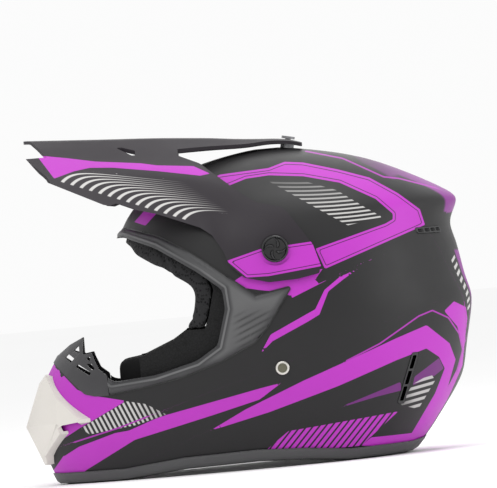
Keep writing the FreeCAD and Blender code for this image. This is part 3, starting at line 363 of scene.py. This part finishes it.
def trim_rubber():
    """Satin rubber with a painted sheen where it stands proud and along its lip, and painted shade in its
    grooves and along its outer edge, where it meets the shell.
    """
    n = Nodes("trim_rubber_skin")
    off_the_edge = n.smooth(n.value("from_edge"), 0.6, 7.0)
    off_the_port = n.smooth(n.value("from_port"), 3.6, 8.0)
    proud = n.math("MULTIPLY", off_the_edge, off_the_port)
    lip = n.math("ABSOLUTE", n.math("SUBTRACT", n.value("from_port"), 3.2))
    # painted highlight: lighter where the rubber stands proud and along its lip
    painted_sheen = n.math("MAXIMUM", n.math("MULTIPLY", proud, 0.75), n.smooth(lip, 1.3, 0.4))
    cloudy = n.math("MULTIPLY_ADD", n.noise(17.0, 2.0), 1.5, -0.15)
    painted_sheen = n.math("MULTIPLY", painted_sheen, cloudy)
    colour = n.mix(painted_sheen, (0.018, 0.018, 0.020), (0.135, 0.135, 0.137))
    # painted shade: a dark line along the outer edge, where the trim meets the shell
    colour = n.mix(n.smooth(n.value("from_edge"), 1.3, 0.5), colour, (0.003, 0.003, 0.003))
    # painted shade in the grooves
    groove_painted_shade = n.math("MULTIPLY", n.value("groove"), 0.9)
    colour = n.mix(groove_painted_shade, colour, (0.012, 0.012, 0.013))
    n.bump(n.noise(1100.0, 3.0), 0.08, 0.0003)
    return n.finish(colour, uneven(n, 0.38, 0.5))


def metal(name, colour, low, high, grain=800.0):
    n = Nodes(name)
    shade = n.mix(n.noise(120.0, 4.0), tuple(0.8 * c for c in colour), colour)
    n.bump(n.noise(grain, 3.0), 0.08, 0.0002)
    return n.finish(shade, uneven(n, low, high, 200.0), 1.0)


def mesh_fabric():
    """Open knitted mesh: rows of small dark holes in black yarn."""
    n = Nodes("mesh_fabric")
    hole = n.smooth(n.cells(360.0), 0.22, 0.42)
    colour = n.mix(hole, (0.0015, 0.0015, 0.002), (0.016, 0.016, 0.017))
    height = n.math("ADD", hole, n.math("MULTIPLY", n.noise(2400.0, 2.0), 0.25))
    n.bump(height, 0.9, 0.0008)
    return n.finish(colour, 0.85, Specular_IOR_Level=0.3)


def smooth_fabric():
    """Soft brushed cloth with a close weave."""
    n = Nodes("smooth_fabric")
    yarns = n.math("MULTIPLY", n.wave(420.0, "Y"), n.wave(420.0, "Z"))
    colour = n.mix(n.noise(25.0, 4.0), (0.003, 0.003, 0.0032), (0.007, 0.007, 0.0075))
    n.bump(n.math("ADD", yarns, n.noise(1800.0, 2.0)), 0.35, 0.0004)
    return n.finish(colour, 0.9, Specular_IOR_Level=0.25)


def bead_foam():
    """Expanded foam, pressed beads with fine seams between them."""
    n = Nodes("bead_foam")
    seam = n.smooth(n.cells(420.0, "DISTANCE_TO_EDGE"), 0.0, 0.14)
    colour = n.mix(seam, (0.003, 0.003, 0.003), (0.009, 0.009, 0.0095))
    n.bump(seam, 0.3, 0.0004)
    return n.finish(colour, 0.85, Specular_IOR_Level=0.3)


def open_foam():
    n = Nodes("open_foam")
    pores = n.smooth(n.cells(900.0), 0.2, 0.6)
    colour = n.mix(pores, (0.004, 0.004, 0.004), (0.03, 0.03, 0.03))
    n.bump(pores, 0.9, 0.0006)
    return n.finish(colour, 0.95)


def woven_webbing():
    """Flat webbing: ribs across the strap, each of twisted yarn, with painted light on the weave's crowns and
    painted shade in its hollows.
    """
    n = Nodes("woven_webbing")
    ribs = n.wave(330.0, "DIAGONAL")
    yarn = n.math("MULTIPLY", n.wave(700.0, "Z"), n.wave(520.0, "Y"))
    height = n.math("ADD", ribs, n.math("MULTIPLY", yarn, 0.5))
    # painted light and shade: lighter on the raised yarn, darker in the hollows between
    colour = n.mix(height, (0.006, 0.006, 0.007), (0.026, 0.026, 0.028))
    n.bump(height, 0.7, 0.0005)
    return n.finish(colour, 0.7, Sheen_Weight=0.1)


def satin_cover():
    """Silver paint over plastic, warm, flat and slightly cloudy."""
    n = Nodes("satin_cover")
    cloudy = n.mix(n.noise(22.0, 5.0), tuple(0.9 * c for c in SATIN_SILVER), SATIN_SILVER)
    flakes = n.mix(n.math("MULTIPLY", n.noise(3000.0, 1.0), 0.25), cloudy, (0.8, 0.77, 0.72))
    n.bump(n.noise(1200.0, 2.0), 0.04, 0.0002)
    return n.finish(flakes, uneven(n, 0.36, 0.46), 0.15)


def rivet_metal():
    """Bright rim around a dark olive centre, told apart by how far a place is from the rivet's middle."""
    n = Nodes("rivet_metal")
    low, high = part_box("strap_rivet_left")
    place = n.tree.nodes.new("ShaderNodeSeparateXYZ")
    n.put(place.inputs[0], n.place)
    off_y = n.math("SUBTRACT", place.outputs[1], 0.5 * (low[1] + high[1]))
    off_z = n.math("SUBTRACT", place.outputs[2], 0.5 * (low[2] + high[2]))
    off = n.math("SQRT", n.math("ADD", n.math("MULTIPLY", off_y, off_y), n.math("MULTIPLY", off_z, off_z)))
    rim = n.smooth(off, 3.75 * MM, 4.05 * MM)
    colour = n.mix(rim, (0.10, 0.095, 0.06), (0.62, 0.60, 0.56))
    n.bump(n.noise(700.0, 3.0), 0.06, 0.0002)
    return n.finish(colour, uneven(n, 0.22, 0.36, 300.0), rim)


def sewing_thread():
    n = Nodes("sewing_thread")
    twist = n.wave(1600.0, "DIAGONAL")
    n.bump(twist, 0.4, 0.0002)
    # painted light and shade: the twist's ridges lighter, its grooves darker
    return n.finish(n.mix(twist, (0.10, 0.10, 0.105), (0.22, 0.22, 0.225)), 0.6, Sheen_Weight=0.2)


PAINT = shell_paint()
THREAD = sewing_thread()
TRIM = trim_rubber()
RIM = moulded("rim_rubber_skin", (0.060, 0.060, 0.062), 0.42, 0.56, 1100.0, 0.14)
GUARD = moulded("guard_skin", (0.026, 0.025, 0.028), 0.36, 0.48)
VENT = moulded("vent_skin", (0.012, 0.012, 0.013), 0.42, 0.55)
KNOB = moulded("knob_skin", (0.006, 0.006, 0.007), 0.12, 0.2, 1500.0, 0.03)
SNAP = moulded("snap_skin", (0.014, 0.014, 0.015), 0.30, 0.40)
COVER = satin_cover()
BRASS = metal("brass_skin", (0.70, 0.48, 0.20), 0.26, 0.40)
STEEL = metal("steel_skin", (0.62, 0.62, 0.63), 0.20, 0.34)
DARK_STEEL = metal("dark_steel_skin", (0.24, 0.24, 0.25), 0.28, 0.42)
RIVET = rivet_metal()
LINER = mesh_fabric()
PAD = smooth_fabric()
BEADS = bead_foam()
FILTER = open_foam()
WEBBING = woven_webbing()


# ---------------------------------------------------------------- hard shell and peak
def paint_fields(piece, fields):
    for name, values in fields.items():
        give(piece.data, name, values)


def nothing(like):
    return np.full(like.shape, FAR)


def painted_shell():
    middle = Vector((0, 0.03, 0.12))

    def on_the_outside(edge):
        return all((v.co - middle).dot(v.normal) > 0 for v in edge.verts)

    piece = fine_copy("outer_shell", "painted_shell", 2.6 * MM, on_the_outside)
    places = coordinates(piece.data)
    inside = ((places - np.array(middle)) * vertex_normals(piece.data)).sum(axis=1) < 0
    x, y, z = (places / MM).T
    x = abs(x)
    side = x > SIDE_FROM
    fields = {}
    behind = y > BACK_FROM
    wedge = np.where(behind, polygon_distance(x, z, BACK_WEDGE), FAR)
    fields["purple"] = np.where(side | (y < 0), union_distance(y, z, PURPLE_SHAPES), FAR)
    fields["inlined"] = (union_distance(y, z, INLINED_SHAPES) < 1).astype(float)
    fields["violet"] = np.where(side, union_distance(y, z, VIOLET_SHAPES), FAR)
    fields["shade"] = np.where(side, union_distance(y, z, SHADE_SHAPES), FAR)
    fields["hatch"] = polygon_distance(y, z, HATCH_BLOCK)
    fields["hatch_phase"] = (y - 0.95 * z) / 5.6
    fields["hatch_fade"] = np.ones(y.shape)
    fields["rib_width"] = np.where((y > 0) & (z > 150), 0.2, 0.24)
    bow = 0.0012 * (y - 40) ** 2
    back_ribs = np.where(behind, polygon_distance(x, z, BACK_RIBS), FAR)
    groups = [  # each group of silver ribs: how far from its outline, its count of ribs, how bright
        (polygon_distance(y, z, CHIN_RIBS), (y + 0.42 * z) / 4.1, 1 - 0.5 * ramp(y, -98, -66)),
        (polygon_distance(y, z, UPPER_RIBS), (z + 0.12 * y - bow) / 3.3, 0.9 * ramp(232 - z, -6, 26)),
        (polygon_distance(y, z, LOWER_RIBS), (z - 0.16 * y) / 5.0, 0.85 * ramp(y, 116, 132)),
        (back_ribs, (z + 0.45 * x) / 6.6, 0.95 * np.ones(y.shape)),
    ]
    nearest = np.argmin([g[0] for g in groups], axis=0)
    for i, name in enumerate(("rib", "rib_phase", "rib_fade")):
        fields[name] = np.choose(nearest, [g[i] for g in groups])
    for i, line in enumerate(THIN_LINES):
        fields[f"line_{i}"] = np.where(side, line_distance(y, z, line), FAR)
    fields[f"line_{len(THIN_LINES)}"] = np.where(behind, line_distance(x, z, BACK_FRAME), FAR)
    above = np.where(z > TOP_FROM, polygon_distance(x, y, SPOILER), FAR)
    spoiler = ramp(-above, 0, 4) * (0.25 + 1.3 * ramp(y, 110, 188))
    fields["glow"] = np.maximum(spoiler, 1.6 * ramp(-wedge, 0, 3) * ramp(z, 98, 150))
    for name in ("purple", "violet", "shade", "hatch", "rib"):
        fields[name] = np.where(inside, FAR, fields[name])
    fields["glow"] = np.where(inside, 0.0, fields["glow"])
    for i in range(len(THIN_LINES) + 1):
        fields[f"line_{i}"] = np.where(inside, FAR, fields[f"line_{i}"])
    paint_fields(piece, fields)
    dress(piece, PAINT)
    stands_for(piece, "helmet", "shell", "outer_shell")


# The silver ribs on the peak's side walls start along its lower edge and sweep back into level lines.
RIB_START, RIB_STEP = (-138.5, 249.5), (7.4, -3.05)  # of the first rib, and from one to the next
RIB_RISE, RIB_BEND, RIB_FALL = 9.5, 8.5, 0.2
RIB_COUNT = 14
RIB_FOOT_SLOPE = 1.3  # where a rib would run on below its start


def rib_number(y, z):
    """Which rib a place lies on, counted as a real number, by halving."""
    low = np.full(y.shape, -8.0)
    high = np.full(y.shape, RIB_COUNT + 8.0)
    for _ in range(24):
        k = 0.5 * (low + high)
        along = y - (RIB_START[0] + k * RIB_STEP[0])
        reach = np.maximum(along, 0)
        height = RIB_START[1] + k * RIB_STEP[1] + RIB_RISE * (1 - np.exp(-reach / RIB_BEND))
        height -= RIB_FALL * reach
        height += np.minimum(along, 0) * RIB_FOOT_SLOPE
        under = height > z
        low = np.where(under, k, low)
        high = np.where(under, high, k)
    return 0.5 * (low + high)


def painted_peak():
    piece = fine_copy("peak", "painted_peak", 2.2 * MM)
    x, y, z = (coordinates(piece.data) / MM).T
    x = abs(x)
    number = rib_number(y, z)
    along = y - (RIB_START[0] + number * RIB_STEP[0])
    on_wall = (x > PEAK_WALL_FROM) & (number > -0.5) & (number < RIB_COUNT - 0.5)
    fields = {}
    fields["purple"] = np.where(x > PEAK_SIDE_FROM, union_distance(y, z, [PEAK_STRIPE, PIVOT_BAND]), FAR)
    fields["inlined"] = ((y > -20) & (z < 200)).astype(float)
    for name in ("violet", "shade", "hatch"):
        fields[name] = nothing(y)
    for name in ("hatch_phase", "hatch_fade"):
        fields[name] = np.zeros(y.shape)
    fields["rib_width"] = 0.17 - 0.05 * ramp(along, 8, 60)
    fields["rib"] = np.where(on_wall, -along - 0.5, 9.0)
    fields["rib_phase"] = number + 0.5
    share = along / (110 - 5.4 * number)  # of the rib's length, shorter for each rib further back
    fields["rib_fade"] = np.clip(1.15 - 0.5 * ramp(share, 0.1, 0.5) - 0.8 * ramp(share, 0.5, 1), 0, 1)
    for i in range(len(THIN_LINES) + 1):
        fields[f"line_{i}"] = nothing(y)
    fields["glow"] = 0.02 * np.ones(y.shape)
    paint_fields(piece, fields)
    dress(piece, PAINT)
    stands_for(piece, "peak", "shell", "peak")


painted_shell()
painted_peak()


# ---------------------------------------------------------------- chin vent cover: its facets with soft edges
def eased(node, name, width, angle_deg, body, slot, material):
    """A CAD node's shape with its edges rounded over."""
    mesh = NODES[node].data.copy()
    mesh.name = name
    work = bmesh.new()
    work.from_mesh(mesh)
    bmesh.ops.remove_doubles(work, verts=work.verts, dist=SAME_PLACE)
    bmesh.ops.dissolve_limit(work, angle_limit=math.radians(1.0), verts=work.verts, edges=work.edges)
    work.to_mesh(mesh)
    work.free()
    mesh.shade_smooth()
    piece = linked(name, mesh)
    add_bevel(piece, width, 3, angle_deg)
    dress(piece, material)
    stands_for(piece, body, slot, node)


eased("chin_vent_cover", "chin_cover_facets", 0.5 * MM, 10, "helmet", "silver_plastic", COVER)
eased("nose_guard", "moulded_nose_guard", 0.45 * MM, 35, "helmet", "trim_rubber", GUARD)


# ---------------------------------------------------------------- rubber trims with a rolled edge and a lip
PORT_EDGE = [
    (-230, 199), (-94, 199), (-69, 188), (-36, 165), (-17, 149), (-16, 133), (-25, 104), (-43, 93),
    (-78, 84.5), (-114, 81.5), (-124, 93), (-131, 98), (-175, 104),
]
TRIM_EDGE = [
    (-230, 207), (-90, 207), (-65, 198), (-41, 183), (-18, 165), (10, 142.5), (41, 147.5), (17, 114),
    (6, 103), (-23, 90), (-56, 80), (-91, 74), (-117.4, 71),
]
LIP_AT, LIP_WIDTH, LIP_HEIGHT = 3.2, 1.5, 0.7  # from the port's edge
ROLL_WIDTH, ROLL_DROP = 3.2, 1.3  # of the outer edge
PORT_ROLL_WIDTH, PORT_ROLL_DROP = 1.6, 0.8
GROOVE_PITCH, GROOVE_DEPTH = 5.2, 0.55
RIM_LINE = [(-230, 0), (-110, 0), (-60, 5.2), (0, 6.2), (40, 4), (74, 0), (128, 0), (150, 4), (230, 24)]
RIM_HEIGHT = 10
RIM_FOOT_ROLL, RIM_FOOT_DROP = 3.2, 1.5
RIM_TOP_ROLL, RIM_TOP_DROP = 1.8, 0.9


def smooth_step(value, low, high):
    share = ramp(value, low, high)
    return share * share * (3 - 2 * share)


def outward_share(places, normals):
    """1 where the surface faces away from the helmet's middle, 0 where it faces in or sideways."""
    away = places - np.array((0.0, 20.0, 130.0))
    away /= np.linalg.norm(away, axis=1, keepdims=True)
    return smooth_step((away * normals).sum(axis=1), 0.35, 0.7)


def moved(piece, shift_mm, sharp_deg):
    """Moves each vertex along its normal, then shades the piece smooth between its sharp edges."""
    mesh = piece.data
    normals = vertex_normals(mesh)
    places = coordinates(mesh) + normals * shift_mm[:, None] * MM
    mesh.vertices.foreach_set("co", places.ravel())
    mesh.attributes.remove(mesh.attributes["custom_normal"])
    mesh.shade_smooth()
    mesh.set_sharp_from_angle(angle=math.radians(sharp_deg))
    mesh.update()


def rolled_eyeport_trim():
    piece = fine_copy("eyeport_trim", "rolled_eyeport_trim", 1.5 * MM)
    places = coordinates(piece.data) / MM
    y, z = places[:, 1], places[:, 2]
    from_port = abs(line_distance(y, z, PORT_EDGE))
    from_edge = abs(line_distance(y, z, TRIM_EDGE))
    lip = LIP_HEIGHT * np.exp(-(((from_port - LIP_AT) / LIP_WIDTH) ** 2))
    roll = ROLL_DROP * (1 - smooth_step(from_edge, 0, ROLL_WIDTH))
    roll += PORT_ROLL_DROP * (1 - smooth_step(from_port, 0, PORT_ROLL_WIDTH))
    wing = smooth_step(y, -14, -2) * smooth_step(30 - y, 0, 14) * smooth_step(132 - z, 0, 8)
    wing *= smooth_step(from_port, 6, 9)
    across = (z - 0.42 * y) / GROOVE_PITCH
    groove = GROOVE_DEPTH * wing * (0.5 + 0.5 * np.cos(2 * math.pi * across)) ** 3
    shift = outward_share(places, vertex_normals(piece.data)) * (lip - roll - groove)
    give(piece.data, "from_port", from_port)
    give(piece.data, "from_edge", from_edge)
    give(piece.data, "groove", groove / GROOVE_DEPTH)
    moved(piece, shift, 40)
    dress(piece, TRIM)
    stands_for(piece, "helmet", "trim_rubber", "eyeport_trim")


def rolled_bottom_trim():
    """The rim's band, fuller along its middle and rolled under at both edges."""
    piece = fine_copy("bottom_trim", "rolled_bottom_trim", 2.0 * MM)
    places = coordinates(piece.data) / MM
    y, z = places[:, 1], places[:, 2]
    height = z - np.interp(y, *zip(*RIM_LINE))
    roll = RIM_FOOT_DROP * (1 - smooth_step(height, 0, RIM_FOOT_ROLL))
    roll += RIM_TOP_DROP * (1 - smooth_step(RIM_HEIGHT - height, 0, RIM_TOP_ROLL))
    moved(piece, -outward_share(places, vertex_normals(piece.data)) * roll, 40)
    dress(piece, RIM)
    stands_for(piece, "helmet", "trim_rubber", "bottom_trim")


rolled_eyeport_trim()
rolled_bottom_trim()


# ---------------------------------------------------------------- pads and liners: soft, crowned and quilted
CHANNEL_HALF_WIDTH, CHANNEL_DEPTH = 1.6, 1.1
PAD_SHRINK = 0.25  # keeps the cloth clear of the foam around it


def soft_pad(node, name, material, slot, voxel, channel_mm, flow=(0.0, 1.0, 0.35)):
    """A padded piece in the CAD solid's space: rounded by remeshing, with sewn channels across it."""
    mesh = NODES[node].data.copy()
    mesh.name = name
    piece = linked(name, mesh)
    for kind, settings in (
        ("REMESH", {"mode": "VOXEL", "voxel_size": voxel}),
        ("SMOOTH", {"factor": 0.6, "iterations": 7}),
        ("SUBSURF", {"levels": 1, "render_levels": 1}),
    ):
        modifier = piece.modifiers.new(kind.lower(), kind)
        for key, value in settings.items():
            setattr(modifier, key, value)
    shape = bpy.data.meshes.new_from_object(piece.evaluated_get(bpy.context.evaluated_depsgraph_get()))
    piece.modifiers.clear()
    shape.name = name
    piece.data = shape
    places = coordinates(shape) / MM
    along = places @ np.array(flow)
    off_seam = ((along / channel_mm + 0.5) % 1.0 - 0.5) * channel_mm
    channel = np.exp(-((off_seam / CHANNEL_HALF_WIDTH) ** 2))
    places -= vertex_normals(shape) * (PAD_SHRINK + CHANNEL_DEPTH * channel)[:, None]
    shape.vertices.foreach_set("co", (places * MM).ravel())
    shape.shade_smooth()
    shape.update()
    dress(piece, material)
    stands_for(piece, "helmet", slot, node)


soft_pad("brow_pad", "soft_brow_pad", LINER, "liner_fabric", 2.6 * MM, 46.0)
soft_pad("neck_roll", "soft_neck_roll", LINER, "liner_fabric", 3.0 * MM, 40.0, (1.0, 0.0, 0.0))
soft_pad("crown_liner", "soft_crown_liner", LINER, "liner_fabric", 3.2 * MM, 38.0, (0.0, 0.6, 1.0))
for hand in ("left", "right"):
    soft_pad(f"cheek_pad_{hand}", f"soft_cheek_pad_{hand}", PAD, "pad_fabric", 3.2 * MM, 52.0)


# ---------------------------------------------------------------- knobs with curved grip fins
GRIP_FINS = 4
FIN_BEND = 1.15  # radians from a fin's inner end to its outer end
FIN_START = 0.5
FIN_HALF_WIDTH = 1.9 * MM
FIN_ROOT = 3.9 * MM  # below the knob's face
HEAD_HEIGHT = 5.4 * MM
STUD_RADIUS = 3.0 * MM


def lathe(profile, segments=72):
    """A closed turned mesh about X through (x, radius) points."""
    work = bmesh.new()
    rings = []
    for x, radius in profile:
        ring = []
        for i in range(segments):
            turn = 2 * math.pi * i / segments
            ring.append(work.verts.new((x, radius * math.cos(turn), radius * math.sin(turn))))
        rings.append(ring)
    for first, second in zip(rings, rings[1:]):
        for i in range(segments):
            j = (i + 1) % segments
            work.faces.new((first[i], first[j], second[j], second[i]))
    work.faces.new(rings[0][::-1])
    work.faces.new(rings[-1])
    return work


def add_fin(work, radius, turn, half, base, top):
    """A curved raised fin, pointed at both ends, lying along an arc across the knob's face."""
    steps = 14
    rows = []
    for i in range(steps + 1):
        share = i / steps
        out = radius * (0.16 + 0.72 * share)
        angle = turn + FIN_BEND * share
        width = half * math.sin(math.pi * (0.06 + 0.88 * share)) ** 0.7
        height = base + (top - base) * math.sin(math.pi * (0.1 + 0.8 * share)) ** 0.6
        centre = Vector((0, out * math.cos(angle), out * math.sin(angle)))
        square = Vector((0, -math.sin(angle), math.cos(angle)))
        low, high = Vector((base, 0, 0)), Vector((height, 0, 0))
        corners = [centre - square * width + low, centre - square * 0.45 * width + high]
        corners += [centre + square * 0.45 * width + high, centre + square * width + low]
        rows.append([work.verts.new(c) for c in corners])
    for first, second in zip(rows, rows[1:]):
        for i in range(4):
            j = (i + 1) % 4
            work.faces.new((first[i], first[j], second[j], second[i]))
    work.faces.new(rows[0][::-1])
    work.faces.new(rows[-1])


def grip_knob(hand, sign):
    low, high = (np.array(c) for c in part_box(f"visor_knob_{hand}"))
    middle = 0.5 * (low + high)
    radius = 0.5 * (high[1] - low[1])
    face = max(abs(low[0]), abs(high[0]))
    back = min(abs(low[0]), abs(high[0]))
    under = face - HEAD_HEIGHT
    outline = [(0.0, 0.94), (0.5, 1.0)]  # of the head: height above its underside in mm, share of the radius
    outline += [(3.8, 1.0), (4.5, 0.95), (4.7, 0.86)]
    outline += [(2.0, 0.80), (1.6, 0.30), (1.8, 0.02)]
    profile = [(back, STUD_RADIUS), (under, STUD_RADIUS)]
    profile += [(under + height * MM, share * radius) for height, share in outline]
    work = lathe(profile)
    for i in range(GRIP_FINS):
        turn = 2 * math.pi * i / GRIP_FINS + FIN_START
        add_fin(work, radius, turn, FIN_HALF_WIDTH, face - FIN_ROOT, face)
    bmesh.ops.recalc_face_normals(work, faces=work.faces)
    mesh = bpy.data.meshes.new(f"grip_knob_{hand}")
    work.to_mesh(mesh)
    work.free()
    mesh.transform(Matrix.Translation((0, middle[1], middle[2])) @ Matrix.Diagonal((sign, 1, 1, 1)))
    if sign < 0:
        mesh.flip_normals()
    mesh.shade_smooth()
    piece = linked(f"grip_knob_{hand}", mesh)
    add_bevel(piece, 0.25 * MM, 2, 30)
    dress(piece, KNOB)
    stands_for(piece, f"knob_{hand}", "knob_plastic", f"visor_knob_{hand}")


grip_knob("left", 1)
grip_knob("right", -1)


# ---------------------------------------------------------------- chin strap: woven webbing and its stitches
def stitches(name, body, x, middle_y, rows, stitch=2.4, thread=0.32):
    """Bar tacks: rows of short raised threads across the strap, on its face towards the head."""
    work = bmesh.new()
    for z in rows:
        for i in range(6):
            y = middle_y + (i - 2.5) * 1.25 * stitch
            spot = Matrix.Translation((x * MM, y * MM, z * MM))
            size = Matrix.Diagonal((thread * MM, 0.5 * stitch * MM, thread * MM, 1.0))
            bmesh.ops.create_uvsphere(work, u_segments=10, v_segments=6, radius=1.0, matrix=spot @ size)
    mesh = bpy.data.meshes.new(name)
    work.to_mesh(mesh)
    work.free()
    mesh.shade_smooth()
    mesh.materials.append(THREAD)
    piece = linked(name, mesh)
    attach(piece, body)


TACK_ROWS = (40, 42.5, 49, 51.5)
RING_SIDE_FACE = 52.7  # the left strap's face above its ring loop, from the middle plane
for hand, sign in (("left", 1), ("right", -1)):
    strap = fine_copy(f"strap_webbing_{hand}", f"woven_strap_{hand}", 3.0 * MM)
    dress(strap, WEBBING)
    stands_for(strap, f"strap_{hand}", "webbing", f"strap_webbing_{hand}")
    strap_low, strap_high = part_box(f"strap_webbing_{hand}")
    strap_middle = 0.5 * (strap_low[1] + strap_high[1]) / MM
    inner_face = min(abs(strap_low[0]), abs(strap_high[0])) / MM
    if hand == "left":
        inner_face = RING_SIDE_FACE
    stitches(f"tacks_{hand}", f"strap_{hand}", sign * (inner_face - 0.1), strap_middle, TACK_ROWS)


# ---------------------------------------------------------------- materials of the CAD pieces that stay
KEPT = {
    "eyeport_trim": TRIM,
    "bottom_trim": RIM,
    "nose_guard": GUARD,
    "rear_vent_grille": VENT,
    "side_vent_louvre": VENT,
    "chin_vent_grille": VENT,
    "chin_filter_foam": FILTER,
    "eps": BEADS,
    "crown_liner": LINER,
    "brow_pad": LINER,
    "neck_roll": LINER,
    "cheek_pad": PAD,
    "pivot_insert": BRASS,
    "tail_insert": DARK_STEEL,
    "visor_knob": KNOB,
    "tail_screw": DARK_STEEL,
    "strap_rivet": RIVET,
    "strap_hanger": STEEL,
    "strap_webbing": WEBBING,
    "d_ring": STEEL,
    "snap_stud": STEEL,
    "snap_socket": SNAP,
}
for node, cad in NODES.items():
    for start, material in KEPT.items():
        if node.startswith(start):
            dress(cad, material)


# ---------------------------------------------------------------- floor, light and camera
def floor():
    mesh = bpy.data.meshes.new("floor")
    work = bmesh.new()
    bmesh.ops.create_circle(work, cap_ends=True, segments=96, radius=14.0)
    work.to_mesh(mesh)
    work.free()
    ground = linked("floor", mesh)
    n = Nodes("pale_floor")
    pale = n.mix(n.noise(0.7), (0.95, 0.95, 0.95), (0.97, 0.97, 0.97))
    ground.data.materials.append(n.finish(pale, 0.95, Specular_IOR_Level=0.0))


def light(name, place, towards, size, power):
    lamp = bpy.data.lights.new(name, "AREA")
    lamp.shape = "DISK"
    lamp.size = size
    lamp.energy = power
    lit = linked(name, lamp)
    lit.location = place
    lit.rotation_euler = (Vector(towards) - Vector(place)).to_track_quat("-Z", "Y").to_euler()


ROLL_DEG = 5.44  # the camera's roll, which leans the helmet forwards a little
SKY_STRENGTH = 0.97
CAMERA_DISTANCE = 6.0
VIEW_WIDTH = 0.4125
VIEW_CENTRE = (0.0, 0.008, 0.184)


def camera():
    roll = math.radians(ROLL_DEG)
    lens = bpy.data.cameras.new("camera")
    lens.sensor_width = 36.0
    lens.lens = 36.0 * CAMERA_DISTANCE / VIEW_WIDTH
    eye = linked("camera", lens)
    right, top = (0, math.cos(roll), -math.sin(roll)), (0, math.sin(roll), math.cos(roll))
    turn = Matrix((right, top, (1, 0, 0))).transposed().to_4x4()
    eye.matrix_world = Matrix.Translation(Vector(VIEW_CENTRE) + Vector((CAMERA_DISTANCE, 0, 0))) @ turn
    bpy.context.scene.camera = eye


def surroundings():
    world = bpy.data.worlds.new("studio")
    bpy.context.scene.world = world
    world.use_nodes = True
    sky = world.node_tree.nodes["Background"]
    sky.inputs["Color"].default_value = (1.0, 1.0, 1.0, 1.0)
    sky.inputs["Strength"].default_value = SKY_STRENGTH
    bpy.context.scene.view_settings.view_transform = "Standard"


floor()
surroundings()
AIM = (0.0, 0.0, 0.15)
light("key", (1.3, -0.7, 1.5), AIM, 0.9, 7.0)
light("top", (0.1, 0.3, 1.6), AIM, 1.1, 9.0)
light("back", (0.5, 1.6, 0.5), AIM, 0.9, 5.0)
light("fill", (-1.3, 0.3, 0.9), AIM, 1.2, 3.0)
camera()
